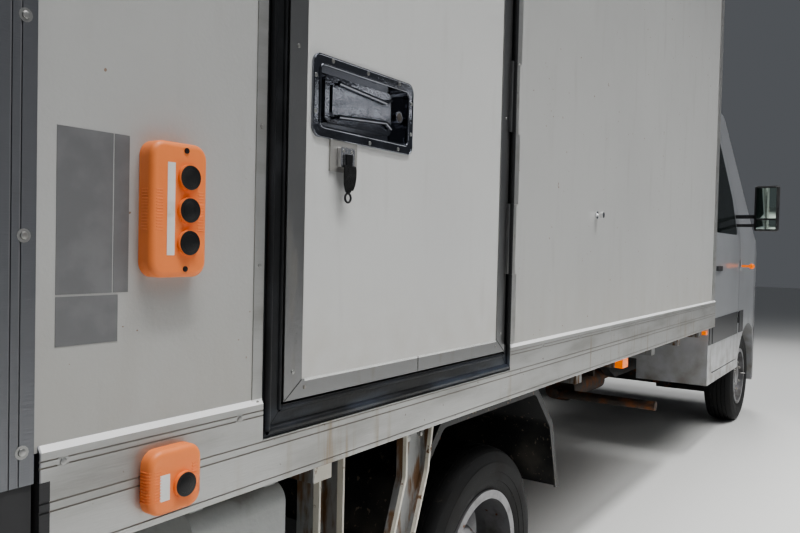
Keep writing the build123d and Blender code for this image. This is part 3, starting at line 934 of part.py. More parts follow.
# Lift arms on one torque tube, with the lugs and pins that the rams push.
ARM_SPAN = (ARM_Y - ARM_W / 2, ARM_Y + ARM_W / 2)
arms = both(bar_between(LIFT_A, LIFT_B, ARM_H, 38, *ARM_SPAN)) + rod_y(*LIFT_T, 35, -ARM_Y, ARM_Y)
for y0, y1 in [(264, 274), (326, 336)]:
    arms = arms + both(bar_between(LIFT_T, LIFT_Q, 44, 22, y0, y1))
arms = arms + both(rod_y(*LIFT_Q, RAM_PIN_R, 264, 336))
for pivot in [LIFT_A, LIFT_B]:
    arms = arms - both(rod_y(*pivot, LIFT_PIN_R + PIN_GAP, 450, 600))
save("lift_arms", arms)

# Ties above the arms that keep the head level.
tie = bar_between(TIE_A, TIE_B, 30, 24, TIE_Y - TIE_W / 2, TIE_Y + TIE_W / 2)
for pivot in [TIE_A, TIE_B]:
    tie = tie - rod_y(*pivot, TIE_PIN_R + PIN_GAP, 570, 610)
save("lift_ties", both(tie))

# Head at the arm ends: upright plates, a cross beam and the pins of arms, ties and platform.
HEAD_SIDE = [(-3452, 784, 16), (-3408, 784, 16), (-3408, 985, 20), (-3452, 985, 20)]
head = []
for y0, y1 in HEAD_PLATES:
    head.append(both(slab_y(HEAD_SIDE, y0, y1)))
head.append(both(rod_y(*LIFT_B, LIFT_PIN_R, HEAD_PLATES[0][0], HEAD_PLATES[1][1])))
head.append(both(rod_y(*TIE_B, TIE_PIN_R, HEAD_PLATES[1][0], HEAD_PLATES[2][1])))
head.append(both(rod_y(*LIFT_H, HEAD_PIN_R, 440, 660)))
head.append(block(-3448, -3412, -620, 620, *HEAD_BEAM_Z))
save("lift_head", *head)

# Rams: barrels on the frame's pins and rods whose eyes reach the arm pins, drawn along their own line.
RAM_LEN = math.hypot(LIFT_Q[0] - LIFT_P[0], LIFT_Q[1] - LIFT_P[1])
RAM_TURN = math.degrees(math.atan2(LIFT_Q[1] - LIFT_P[1], LIFT_Q[0] - LIFT_P[0]))
BARREL_END = 172.0
ROD_START = 122.0


def along_ram(shape):
    return Pos(LIFT_P[0], 0, LIFT_P[1]) * Rot(0, -RAM_TURN, 0) * shape


EYE_SPAN = (RAM_Y - RAM_EYE_W / 2, RAM_Y + RAM_EYE_W / 2)
barrel = rod_x(RAM_Y, 0, RAM_R, 19, BARREL_END) + rod_y(0, 0, 24, *EYE_SPAN)
barrel = barrel - rod_y(0, 0, RAM_PIN_R + PIN_GAP, 270, 330) - rod_x(RAM_Y, 0, RAM_ROD_R + PIN_GAP, 30, 240)
piston = rod_x(RAM_Y, 0, RAM_ROD_R, ROD_START, RAM_LEN - RAM_EYE_BORE_R - 2) + rod_y(RAM_LEN, 0,
                                                                                     RAM_EYE_R, *EYE_SPAN)
piston = piston - rod_y(RAM_LEN, 0, RAM_EYE_BORE_R, 270, 330)
save("lift_barrels", both(along_ram(barrel)))
save("lift_pistons", both(along_ram(piston)))

# Platform, folded up against the rear: tapered panel with pressed grooves and two pairs of hinge ears.
PLATFORM_BACK_X = PLATFORM_FACE_X - PLATFORM_T
platform = slab_y([(PLATFORM_FACE_X, PLATFORM_Z0, 0), (PLATFORM_FACE_X, PLATFORM_TOP_Z, 0),
                   (PLATFORM_FACE_X - 20, PLATFORM_TOP_Z, 0), (PLATFORM_BACK_X, 2100, 0),
                   (PLATFORM_BACK_X, PLATFORM_Z0, 0)], -PLATFORM_HALF_W, PLATFORM_HALF_W)
for y in even(125 - PLATFORM_HALF_W, PLATFORM_HALF_W - 125, PLATFORM_RIBS):
    platform = platform - block(PLATFORM_BACK_X - 1, PLATFORM_BACK_X + 4, y - 8, y + 8, PLATFORM_Z0 + 60,
                                2060)
EAR_R = 22.0
for y0, y1 in [(445, 470), (626, 650)]:
    ear = rod_y(*LIFT_H, EAR_R, y0, y1) + block(LIFT_H[0] - EAR_R, LIFT_H[0] + EAR_R, y0, y1, LIFT_H[1],
                                                PLATFORM_Z0 + 4)
    platform = platform + both(ear)
platform = platform - both(rod_y(*LIFT_H, HEAD_PIN_R + PIN_GAP, 430, 670))
save("lift_platform", platform)

# Flap above the platform, hung from the rear frame.
flap = block(FLAP_HINGE_X - 44, FLAP_HINGE_X - 4, 40 - BODY_HALF_W, BODY_HALF_W - 40, FLAP_Z0, FLAP_Z1)
for i in range(1, HINGE_LINES - 2, 2):
    y0 = flap_hinge_y[i] + 1
    y1 = flap_hinge_y[i + 1] - 1
    barrel = block(FLAP_HINGE_X - 7, FLAP_HINGE_X, y0, y1, FLAP_Z1 - 4, FLAP_HINGE_Z)
    barrel = barrel + rod_y(FLAP_HINGE_X, FLAP_HINGE_Z, DOOR_HINGE_R, y0, y1)
    flap = flap + (barrel - rod_y(FLAP_HINGE_X, FLAP_HINGE_Z, DOOR_PIN_R + PIN_GAP, y0 - 1, y1 + 1))
save("top_flap", flap)
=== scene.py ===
import math

import bmesh
import bpy
from mathutils import Matrix, Vector


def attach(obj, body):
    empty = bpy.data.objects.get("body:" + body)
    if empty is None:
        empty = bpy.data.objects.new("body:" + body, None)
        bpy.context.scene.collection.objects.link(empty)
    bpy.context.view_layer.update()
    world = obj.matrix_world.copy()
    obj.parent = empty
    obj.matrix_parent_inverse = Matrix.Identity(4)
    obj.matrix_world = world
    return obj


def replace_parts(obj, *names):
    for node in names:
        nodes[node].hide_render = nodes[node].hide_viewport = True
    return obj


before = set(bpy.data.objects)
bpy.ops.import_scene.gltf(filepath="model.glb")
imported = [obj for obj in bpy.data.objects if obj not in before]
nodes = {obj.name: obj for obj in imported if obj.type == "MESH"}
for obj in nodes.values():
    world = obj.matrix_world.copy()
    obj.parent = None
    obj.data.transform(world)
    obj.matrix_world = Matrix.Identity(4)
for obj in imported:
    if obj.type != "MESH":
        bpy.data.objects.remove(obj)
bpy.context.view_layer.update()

# Floor and studio light. A pale sheet under the truck, a large soft source over the floor beside it, a
# narrow one high up that grazes the right wall, thin strips for polished metal to mirror, soft sources
# behind, ahead and to the left, and a dim sky.
world = bpy.data.worlds.new("studio")
bpy.context.scene.world = world
world.use_nodes = True
sky = world.node_tree.nodes["Background"]
sky.inputs["Color"].default_value = (0.60, 0.63, 0.68, 1)
sky.inputs["Strength"].default_value = 0.16
bpy.context.scene.view_settings.view_transform = "AgX"
bpy.context.scene.view_settings.look = "AgX - Medium High Contrast"


def soft_light(name, place, target, size, power, spread=180):
    lamp = bpy.data.lights.new(name, "AREA")
    lamp.shape = "RECTANGLE"
    lamp.size = size[0]
    lamp.size_y = size[1]
    lamp.energy = power
    lamp.spread = math.radians(spread)
    holder = bpy.data.objects.new(name, lamp)
    bpy.context.collection.objects.link(holder)
    holder.location = place
    aim = Vector(target) - Vector(place)
    holder.rotation_euler = aim.to_track_quat("-Z", "Y").to_euler()


soft_light("over_floor", (3.0, -4.8, 6.4), (3.0, -4.2, 0.0), (12.0, 3.0), 270, 100)
soft_light("grazing", (-1.6, -2.7, 6.2), (-1.6, -1.9, 0.0), (7.0, 0.5), 52, 50)
soft_light("right_level", (-1.5, -6.8, 2.0), (-1.5, -1.06, 1.1), (7.0, 1.0), 10)
STRIP_HEIGHTS = (2.74, 2.93)
for height in STRIP_HEIGHTS:
    soft_light("strip_ahead", (2.5, -5.0, height), (-2.6, -1.06, 1.6), (1.3, 0.05), 0.5)
soft_light("behind", (-8.5, 1.5, 4.6), (-3.4, 0, 1.2), (4.0, 3.0), 56, 130)
soft_light("left_level", (0.0, 7.0, 5.0), (0.0, 2.0, 1.0), (10.0, 2.4), 120, 130)
soft_light("ahead", (8.5, 1.0, 4.4), (3.2, 0, 1.0), (2.0, 2.0), 70, 130)

FLOOR_HALF = 30
floor_mesh = bpy.data.meshes.new("studio_floor")
bm = bmesh.new()
bmesh.ops.create_grid(bm, x_segments=1, y_segments=1, size=FLOOR_HALF)
bm.to_mesh(floor_mesh)
bm.free()
studio_floor = bpy.data.objects.new("studio_floor", floor_mesh)
bpy.context.collection.objects.link(studio_floor)
floor_paint = bpy.data.materials.new("pale_floor")
floor_paint.use_nodes = True
floor_shader = floor_paint.node_tree.nodes["Principled BSDF"]
floor_shader.inputs["Base Color"].default_value = (0.74, 0.74, 0.72, 1)
floor_shader.inputs["Roughness"].default_value = 0.55
floor_mesh.materials.append(floor_paint)

# Camera. It stands just off the right rear corner at chest height, looks forward along the side and
# leans a little to the right.
eye = Vector((-3.858, -2.007, 1.298))
heading = math.radians(34.26)
pitch = math.radians(-1.49)
roll = math.radians(1.30)
ahead = Vector((math.cos(heading) * math.cos(pitch), math.sin(heading) * math.cos(pitch),
                math.sin(pitch)))
level_right = ahead.cross(Vector((0, 0, 1))).normalized()
level_up = level_right.cross(ahead)
right = math.cos(roll) * level_right + math.sin(roll) * level_up
up = -math.sin(roll) * level_right + math.cos(roll) * level_up
camera_data = bpy.data.cameras.new("photo_camera")
camera_data.sensor_fit = "HORIZONTAL"
camera_data.sensor_width = 36.0
camera_data.lens = 33.45
camera_data.clip_start = 0.05
camera = bpy.data.objects.new("photo_camera", camera_data)
bpy.context.collection.objects.link(camera)
turn = Matrix((right, up, -ahead)).transposed()
camera.matrix_world = Matrix.Translation(eye) @ turn.to_4x4()
bpy.context.scene.camera = camera


# Insulated panels: white gelcoat skins over foam, bonded into the profiles. The gloss has gone soft,
# road film gathers low down, and a few specks of iron dust have rusted into the face.
class Look:
    # Procedural material built up in layers. Its textures and masks all read object coordinates.
    def __init__(self, name, colour, rough, metal=0.0):
        self.material = bpy.data.materials.new(name)
        self.material.use_nodes = True
        self.tree = self.material.node_tree
        self.shader = self.tree.nodes["Principled BSDF"]
        self.place = self.tree.nodes.new("ShaderNodeTexCoord").outputs["Object"]
        self.set("Base Color", (*colour, 1))
        self.set("Roughness", rough)
        self.set("Metallic", metal)

    def set(self, socket, value):
        self.shader.inputs[socket].default_value = value
        return self

    def node(self, kind, *values, **settings):
        made = self.tree.nodes.new("ShaderNode" + kind)
        for key, value in settings.items():
            setattr(made, key, value)
        for socket, value in zip(made.inputs, values):
            if isinstance(value, bpy.types.NodeSocket):
                self.tree.links.new(value, socket)
            else:
                socket.default_value = value
        return made.outputs[0]

    def noise(self, scale, detail=5.0, stretch=(1, 1, 1)):
        spread = self.node("VectorMath", self.place, stretch, operation="MULTIPLY")
        return self.node("TexNoise", spread, 0.0, scale, detail)

    def split(self, vector):
        parts = self.tree.nodes.new("ShaderNodeSeparateXYZ")
        self.tree.links.new(vector, parts.inputs[0])
        return parts.outputs

    def axis(self, index):
        return self.split(self.place)[index]

    def rise(self, value, low, high):
        # Grows from 0 at low to 1 at high. low may be the greater one.
        first, last = (0.0, 1.0) if low < high else (1.0, 0.0)
        return self.node("MapRange", value, min(low, high), max(low, high), first, last,
                         interpolation_type="SMOOTHSTEP")

    def times(self, a, b):
        return self.node("Math", a, b, operation="MULTIPLY")

    def inside(self, low, high):
        # 1 within a box of the object's space, 0 outside it.
        middle = [(a + b) / 2 for a, b in zip(low, high)]
        half = [(b - a) / 2 for a, b in zip(low, high)]
        away = self.node("VectorMath", self.place, middle, operation="SUBTRACT")
        away = self.node("VectorMath", away, operation="ABSOLUTE")
        away = self.node("VectorMath", away, half, operation="SUBTRACT")
        away_x, away_y, away_z = self.split(away)
        worst = self.node("Math", away_x, away_y, operation="MAXIMUM")
        worst = self.node("Math", worst, away_z, operation="MAXIMUM")
        return self.node("Math", worst, 0.0, operation="LESS_THAN")

    def over(self, mask, colour=None, rough=None, metal=None, clear=None):
        # Lays a layer over what is there, where the mask is 1.
        for name, value in (("Base Color", colour), ("Roughness", rough), ("Metallic", metal),
                            ("Transmission Weight", clear)):
            if value is None:
                continue
            socket = self.shader.inputs[name]
            mix = self.tree.nodes.new("ShaderNodeMix")
            # Where the mix node keeps its first value and its result, for numbers and for colours.
            first, out = 2, 0
            if name == "Base Color":
                mix.data_type = "RGBA"
                first, out = 6, 2
                value = (*value, 1)
            self.tree.links.new(mask, mix.inputs[0])
            if socket.is_linked:
                self.tree.links.new(socket.links[0].from_socket, mix.inputs[first])
            else:
                mix.inputs[first].default_value = socket.default_value
            mix.inputs[first + 1].default_value = value
            self.tree.links.new(mix.outputs[out], socket)
        return self

    def relief(self, height, depth):
        # Raises the surface by depth where height is 1.
        bump = self.tree.nodes.new("ShaderNodeBump")
        bump.inputs["Distance"].default_value = depth
        self.tree.links.new(height, bump.inputs["Height"])
        socket = self.shader.inputs["Normal"]
        if socket.is_linked:
            self.tree.links.new(socket.links[0].from_socket, bump.inputs["Normal"])
        self.tree.links.new(bump.outputs[0], socket)
        return self

    def worn(self, colour, scale=9.0, low=0.52, high=0.75, stretch=(1, 1, 1), rough=None):
        # Patches of dirt or wear from one noise.
        return self.over(self.rise(self.noise(scale, 8.0, stretch), low, high), colour, rough)

    def grain(self, scale, depth, stretch=(1, 1, 1)):
        # Fine unevenness from one noise.
        return self.relief(self.noise(scale, 3.0, stretch), depth)


def dress(look, *names):
    # Gives a finish to all slots of CAD nodes.
    for name in names:
        data = nodes[name].data
        if not data.materials:
            data.materials.append(look.material)
        for slot in nodes[name].material_slots:
            slot.material = look.material


gelcoat = Look("panel_gelcoat", (0.50, 0.50, 0.488), 0.36)
gelcoat.worn((0.47, 0.47, 0.46), 1.6, 0.35, 0.75)
gelcoat.worn((0.455, 0.45, 0.438), 5.0, 0.55, 0.8, (3, 3, 0.5), rough=0.45)
road_film = gelcoat.times(gelcoat.rise(gelcoat.axis(2), 1.35, 1.0), gelcoat.noise(14, 6.0, (1, 1, 0.3)))
gelcoat.over(road_film, (0.43, 0.415, 0.38), 0.55)
rust_specks = gelcoat.rise(gelcoat.noise(60, 1.0), 0.785, 0.80)
gelcoat.over(rust_specks, (0.30, 0.22, 0.17), 0.7)
gelcoat.grain(160, 0.00025)
gelcoat.grain(2.2, 0.004)
dress(gelcoat, "box_panels", "top_flap")


# Aluminium profiles of the body: mill-finish extrusions, lacquered once. Rain has drawn brown streaks down
# from their grooves.
# The top edge of the bottom rail has a painted highlight; the grooves, the rear post and the hinge gap get
# painted shade.
# LIMIT lies beyond the truck on every side.
LIMIT = 9.0
SIDES = (-1, 1)
GROOVE = 0.002
RAIL_GROOVES_Z = (1.0, 0.991, 0.943, 0.930, 0.872)
POST_GROOVES_X = (-3.376, -3.357, -3.344)
POST_FRONT_X = -3.312
RAIL_TOP_Z = (1.0128, 1.0225)
ROAD_DIRT = (0.19, 0.155, 0.12)


def on_side(side, inner, outer):
    # Least and greatest y of a strip on one side of the truck.
    return sorted((side * inner, side * outer))


profile = Look("satin_aluminium", (0.50, 0.50, 0.49), 0.4, 0.8)
profile.worn((0.38, 0.375, 0.36), 3.0, 0.4, 0.75, (1, 1, 5), rough=0.52)
low_rail = profile.rise(profile.axis(2), 1.02, 0.93)
streaks = profile.times(low_rail, profile.rise(profile.noise(6, 9.0, (7, 7, 0.5)), 0.52, 0.78))
streaks = profile.times(streaks, profile.rise(profile.noise(1.7, 4.0), 0.42, 0.6))
profile.over(streaks, (0.34, 0.28, 0.20), 0.6, 0.2)
# Painted shade: the rear post is painted darker and more metallic than the other profiles.
rear_post_painted_shade = profile.rise(profile.axis(0), POST_FRONT_X, POST_FRONT_X - 0.002)
profile.over(rear_post_painted_shade, (0.24, 0.245, 0.26), 0.36, 0.9)
# Painted shade: dark lines painted along the grooves of the rails and posts.
for z in RAIL_GROOVES_Z:
    for side in SIDES:
        y0, y1 = on_side(side, 1.063, 1.067)
        groove_painted_shade = profile.inside((-3.32, y0, z), (0.91, y1, z + GROOVE))
        profile.over(groove_painted_shade, (0.33, 0.31, 0.28), 0.5, 0.5)
for x in POST_GROOVES_X:
    for side in SIDES:
        y0, y1 = on_side(side, 1.060, 1.064)
        groove_painted_shade = profile.inside((x, y0, 0.97), (x + GROOVE, y1, 3.2))
        profile.over(groove_painted_shade, (0.30, 0.30, 0.31), 0.5, 0.5)
splash = profile.times(low_rail, profile.rise(profile.noise(60, 4.0), 0.68, 0.74))
profile.over(splash, ROAD_DIRT, 0.8, 0.0)
# Painted highlight: the top chamfer of the bottom rail is painted near white.
for side in SIDES:
    y0, y1 = on_side(side, 1.0598, 1.0668)
    rail_top_painted_highlight = profile.inside((POST_FRONT_X, y0, RAIL_TOP_Z[0]), (LIMIT, y1, RAIL_TOP_Z[1]))
    profile.over(rail_top_painted_highlight, (0.95, 0.95, 0.94), 0.3, 0.0)
post_feet = profile.inside((-LIMIT, -LIMIT, 0.7), (-3.3, LIMIT, 0.973))
profile.over(post_feet, (0.05, 0.05, 0.052), 0.6, 0.1)
wall_knob = profile.inside((-1.22, -1.10, 1.41), (-1.17, -1.0605, 1.46))
profile.over(wall_knob, (0.78, 0.78, 0.79), 0.14, 1.0)
# Painted shade: a near-black band on the profile where the door's hinge gap lies.
hinge_gap_painted_shade = profile.inside((-1.942, -1.1, 1.0235), (-1.916, -1.0632, 2.95))
profile.over(hinge_gap_painted_shade, (0.012, 0.012, 0.013), 0.5, 0.0)
profile.grain(30, 0.0003, (1, 1, 12))
dress(profile, "box_frame")


def add_block(bm, low, high, round_off=0.0, steps=2):
    # Block between two corners, its edges rounded if asked.
    corners = bmesh.ops.create_cube(bm, size=1.0)["verts"]
    bmesh.ops.scale(bm, vec=Vector(high) - Vector(low), verts=corners)
    bmesh.ops.translate(bm, vec=(Vector(high) + Vector(low)) / 2, verts=corners)
    if round_off:
        edges = list({edge for corner in corners for edge in corner.link_edges})
        bmesh.ops.bevel(bm, geom=edges, offset=round_off, segments=steps, profile=0.5, affect="EDGES",
                        material=-1)


def add_rod(bm, start, end, radius, tip=None, sides=16, round_off=0.0):
    # Rod or cone from start to end. round_off softens the rim at its end.
    start, end = Vector(start), Vector(end)
    along = end - start
    made = bmesh.ops.create_cone(bm, cap_ends=True, segments=sides, radius1=radius,
                                 radius2=radius if tip is None else tip, depth=along.length)["verts"]
    rim = list({edge for v in made for edge in v.link_edges if all(w.co.z > 0 for w in edge.verts)})
    bmesh.ops.rotate(bm, verts=made, cent=(0, 0, 0), matrix=along.to_track_quat("Z", "Y").to_matrix())
    bmesh.ops.translate(bm, verts=made, vec=(start + end) / 2)
    if round_off:
        bmesh.ops.bevel(bm, geom=rim, offset=round_off, segments=2, profile=0.5, affect="EDGES",
                        material=-1)


def piece(name, bm, body, look, sharp=35.0):
    # Closes a finished mesh into an object that rides on a body.
    bmesh.ops.recalc_face_normals(bm, faces=bm.faces)
    for face in bm.faces:
        face.smooth = True
    for edge in bm.edges:
        edge.smooth = edge.calc_face_angle(0.0) < math.radians(sharp)
    mesh = bpy.data.meshes.new(name)
    bm.to_mesh(mesh)
    bm.free()
    mesh.materials.append(look.material)
    made = bpy.data.objects.new(name, mesh)
    bpy.context.collection.objects.link(made)
    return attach(made, body)


# Fasteners of the profiles: dome-headed screws along the bottom rails and up the rear posts, and blind
# rivets through the thin strips beside the door seal.
zinc = Look("zinc_plate", (0.42, 0.42, 0.41), 0.38, 0.9)
zinc.worn((0.26, 0.22, 0.18), 40, 0.5, 0.75, rough=0.6)
zinc.grain(300, 0.0002)


def add_dome(bm, place, outward, radius, height, washer=False):
    place, outward = Vector(place), Vector(outward)
    sunk = place - outward * 0.001
    add_rod(bm, sunk, place + outward * height, radius, sides=12, round_off=height * 0.7)
    if washer:
        add_rod(bm, sunk, place + outward * 0.0007, radius * 1.7, sides=12)


RAIL_SCREW_X = -3.281
RAIL_SCREW_PITCH = 0.324
POST_SCREW_Z = 1.019
POST_SCREW_PITCH = 0.283
REAR_SCREW_X = -3.3895
TOP_PITCH = 0.31
REAR_PITCH = 0.13
# Radius and height of each kind of head.
SCREW = (0.0055, 0.003)
RIVET = (0.005, 0.0025)
SMALL_RIVET = (0.0042, 0.0018)
SEAL_SPAN = (-2.93, -1.87)
bm = bmesh.new()
for side in SIDES:
    for i in range(13):
        x = RAIL_SCREW_X + RAIL_SCREW_PITCH * i
        if side == 1 or not SEAL_SPAN[0] < x < SEAL_SPAN[1]:
            add_dome(bm, (x, side * 1.0648, 0.9955), (0, side, 0), *SCREW, washer=True)
    for i in range(8):
        z = POST_SCREW_Z + POST_SCREW_PITCH * i
        add_dome(bm, (-3.3375, side * 1.0625, z), (0, side, 0), *SCREW, washer=True)
    for i in range(14):
        add_dome(bm, (-3.2 + TOP_PITCH * i, side * 1.0628, 3.085), (0, side, 0), *RIVET)
    for i in range(7):
        add_dome(bm, (0.86, side * 1.0625, 1.1 + TOP_PITCH * i), (0, side, 0), *RIVET)
        for z in (3.105, 0.955):
            add_dome(bm, (REAR_SCREW_X, side * (0.12 + REAR_PITCH * i), z), (-1, 0, 0), *RIVET)
for i in range(8):
    add_dome(bm, (-2.9115, -1.0618, 1.0155 + 0.2445 * i), (0, -1, 0), *SMALL_RIVET)
    add_dome(bm, (-1.8845, -1.0618, 1.119 + 0.211 * i), (0, -1, 0), *SMALL_RIVET)
piece("profile_fasteners", bm, "chassis", zinc)


# Side door: insulated gelcoat leaf in a frame of flat aluminium profiles, mitred at the corners and
# riveted near each joint. Corners on the wall are given as x and z.
DOOR_LOW = (-2.847, 1.007)
DOOR_HIGH = (-1.937, 2.855)
FRAME_SIDE = 0.049
FRAME_END = 0.036
leaf = Look("door_gelcoat", (0.66, 0.66, 0.645), 0.33)
leaf.worn((0.63, 0.63, 0.62), 1.9, 0.35, 0.75)
leaf.worn((0.60, 0.595, 0.58), 6.0, 0.55, 0.8, (3, 3, 0.5), rough=0.45)
leaf_film = leaf.times(leaf.rise(leaf.axis(2), 1.3, 1.03), leaf.noise(14, 6.0))
leaf.over(leaf_film, (0.55, 0.53, 0.49), 0.5)
leaf.over(leaf.rise(leaf.noise(64, 1.0), 0.80, 0.83), (0.84, 0.83, 0.80), 0.5)
panel_field = leaf.inside((DOOR_LOW[0] + FRAME_SIDE, -LIMIT, DOOR_LOW[1] + FRAME_END),
                          (DOOR_HIGH[0] - FRAME_SIDE, LIMIT, DOOR_HIGH[1] - FRAME_END))
frame_mask = leaf.node("Math", 1.0, panel_field, operation="SUBTRACT")
leaf.over(frame_mask, (0.30, 0.30, 0.30), 0.34, 0.9)
frame_stains = leaf.times(frame_mask, leaf.rise(leaf.noise(20, 8.0, (1, 1, 0.2)), 0.55, 0.75))
leaf.over(frame_stains, (0.30, 0.29, 0.27), 0.55)
# Painted shade: a near-black band along the leaf's hinge edge, at the hinge gap.
leaf_hinge_painted_shade = leaf.inside((-1.942, -1.1, 0.9), (-1.90, -1.0655, 2.95))
leaf.over(leaf_hinge_painted_shade, (0.012, 0.012, 0.013), 0.5, 0.0)
# Painted highlight: a near-white line along the top edge of the frame's bottom rail.
sill_painted_highlight = leaf.inside((-2.79, -1.07, 1.0385), (-1.99, -1.0615, 1.0435))
leaf.over(sill_painted_highlight, (0.86, 0.86, 0.85), 0.25)
leaf.grain(160, 0.00025)
dress(leaf, "side_door")

joint_dark = Look("joint_shadow", (0.03, 0.03, 0.032), 0.7)
joint_dark.worn((0.09, 0.08, 0.07), 30, 0.45, 0.7)
FACE_Y = -1.0653
JOINT_R = 0.0007
MIDDLE_JOINT_X = -2.391
bm = bmesh.new()
for x, dx in ((DOOR_LOW[0], FRAME_SIDE), (DOOR_HIGH[0], -FRAME_SIDE)):
    for z, dz in ((DOOR_LOW[1], FRAME_END), (DOOR_HIGH[1], -FRAME_END)):
        outer = (x + dx * 0.03, FACE_Y, z + dz * 0.03)
        add_rod(bm, outer, (x + dx * 0.98, FACE_Y, z + dz * 0.98), JOINT_R, sides=6)
add_rod(bm, (MIDDLE_JOINT_X, FACE_Y, 1.008), (MIDDLE_JOINT_X, FACE_Y, 1.0425), JOINT_R, sides=6)
piece("door_frame_joints", bm, "side_door", joint_dark)
bm = bmesh.new()
for stile_x, rail_x in ((-2.823, -2.79), (-1.961, -1.99)):
    rivets = [(stile_x, z) for z in (1.06, 1.666, 2.26, 2.80)] + [(rail_x, z) for z in (1.027, 2.837)]
    for x, z in rivets:
        add_dome(bm, (x, -1.0648, z), (0, -1, 0), *SMALL_RIVET)
add_dome(bm, (MIDDLE_JOINT_X, -1.0648, 2.837), (0, -1, 0), *SMALL_RIVET)
piece("door_frame_rivets", bm, "side_door", zinc)


# Door seal: black rubber with a rounded lip outside and a thin one against the leaf, cut and joined on
# the slant at its lower corners. A bluish painted highlight lies on the lower run.
SEAL_LOW = (-2.900, 0.948)
SEAL_HIGH = (-1.898, 2.905)
rubber = Look("seal_rubber", (0.005, 0.0055, 0.0065), 0.42)
rubber.worn((0.014, 0.015, 0.018), 12, 0.45, 0.7, rough=0.55)
low_run = rubber.rise(rubber.axis(2), 1.02, 0.95)
# Painted highlight: a bluish, glossier tint along the lower run of the seal.
bluish_painted_highlight = rubber.times(low_run, rubber.rise(rubber.noise(5, 6.0, (1, 1, 6)), 0.4, 0.65))
rubber.over(bluish_painted_highlight, (0.045, 0.055, 0.075), 0.34)
near_corner = rubber.rise(rubber.axis(2), 1.03, 1.02)
for slope, corner_x in ((-1.0, SEAL_LOW[0]), (1.0, SEAL_HIGH[0])):
    start = corner_x + slope * SEAL_LOW[1]
    seam = rubber.node("Math", rubber.axis(2), slope, rubber.axis(0), operation="MULTIPLY_ADD")
    seam = rubber.node("Math", rubber.node("Math", seam, start, operation="SUBTRACT"), operation="ABSOLUTE")
    rubber.over(rubber.times(rubber.rise(seam, 0.0016, 0.0004), near_corner), (0.003, 0.003, 0.003), 0.8)
rubber.grain(90, 0.0006)
dress(rubber, "side_door_seal")


def add_lip(bm, low, high, y, radius, sides):
    # Closed run of round rubber through four corners.
    corners = [(low[0], low[1]), (high[0], low[1]), (high[0], high[1]), (low[0], high[1])]
    for (xa, za), (xb, zb) in zip(corners[-1:] + corners, corners):
        add_rod(bm, (xa, y, za), (xb, y, zb), radius, sides=sides)


bm = bmesh.new()
add_lip(bm, (SEAL_LOW[0] + 0.012, SEAL_LOW[1] + 0.013), (SEAL_HIGH[0] - 0.012, SEAL_HIGH[1] - 0.012),
        -1.0625, 0.0075, 12)
add_lip(bm, (DOOR_LOW[0] - 0.009, DOOR_LOW[1] - 0.012), (DOOR_HIGH[0] + 0.004, DOOR_HIGH[1] + 0.009),
        -1.0612, 0.0045, 10)
piece("seal_lips", bm, "chassis", rubber)


# Recessed latch: polished stainless pan and paddle held by nine rivets, with ribs pressed into the paddle
# and a slotted lock barrel. Below it hangs a clasp whose black webbing tongue ends in a ring.
LATCH_MID = (-2.610, 1.587)
LATCH_FACE_Y = -1.0658
BUCKLE_Y = -1.0768


def softened(name, body, look, width):
    # Stands for a CAD node with the same form, its sharp edges rounded so that they catch the light.
    bm = bmesh.new()
    bm.from_mesh(nodes[name].data)
    bmesh.ops.remove_doubles(bm, verts=bm.verts, dist=0.00002)
    made = piece(name + "_softened", bm, body, look)
    bevel = made.modifiers.new("edges", "BEVEL")
    bevel.width = width
    bevel.segments = 2
    bevel.limit_method = "ANGLE"
    bevel.angle_limit = math.radians(35)
    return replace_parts(made, name)


chrome = Look("polished_steel", (0.26, 0.27, 0.30), 0.045, 1.0)
chrome.worn((0.15, 0.155, 0.17), 11, 0.45, 0.75, rough=0.1)
tongue_end = chrome.inside((-2.697, -1.09, 1.36), (-2.673, BUCKLE_Y, 1.482))
chrome.over(tongue_end, (0.03, 0.03, 0.032), 0.45, 0.6)
back_plate = chrome.inside((-2.7285, -1.0667, 1.445), (-2.6425, -1.0615, 1.5075))
chrome.over(back_plate, (0.42, 0.41, 0.39), 0.35, 0.4)
buckle = chrome.inside((-2.708, BUCKLE_Y, 1.452), (-2.662, -1.0670, 1.496))
chrome.over(buckle, (0.80, 0.80, 0.81), 0.24)
chrome.grain(7, 0.0005)
chrome.grain(220, 0.0001)
softened("side_door_latch", "side_door", chrome, 0.002)

LATCH_RIVETS = [(x, LATCH_MID[1] + 0.072) for x in (-2.725, -2.610, -2.495)]
LATCH_RIVETS += [(x, LATCH_MID[1] - 0.072) for x in (-2.60, -2.495)]
LATCH_RIVETS += [(x, z) for x in (-2.775, -2.445) for z in (1.623, 1.5545)]
bm = bmesh.new()
for x, z in LATCH_RIVETS:
    add_dome(bm, (x, LATCH_FACE_Y, z), (0, -1, 0), 0.0045, 0.002)
for x in (-2.698, -2.672):
    add_dome(bm, (x, BUCKLE_Y + 0.001, 1.487), (0, -1, 0), 0.003, 0.0015)
piece("latch_rivets", bm, "side_door", zinc)


def add_rim(bm, half_w, half_h, corner, y, thick):
    # Rolled rim: a round bar in a rectangle with round corners.
    path = []
    for k, (side_x, side_z) in enumerate(((1, 1), (-1, 1), (-1, -1), (1, -1))):
        for step in range(5):
            turn = math.pi / 2 * (k + step / 4)
            path.append((LATCH_MID[0] + side_x * (half_w - corner) + corner * math.cos(turn), y,
                         LATCH_MID[1] + side_z * (half_h - corner) + corner * math.sin(turn)))
    for start, end in zip(path, path[1:] + path[:1]):
        add_rod(bm, start, end, thick, sides=10)


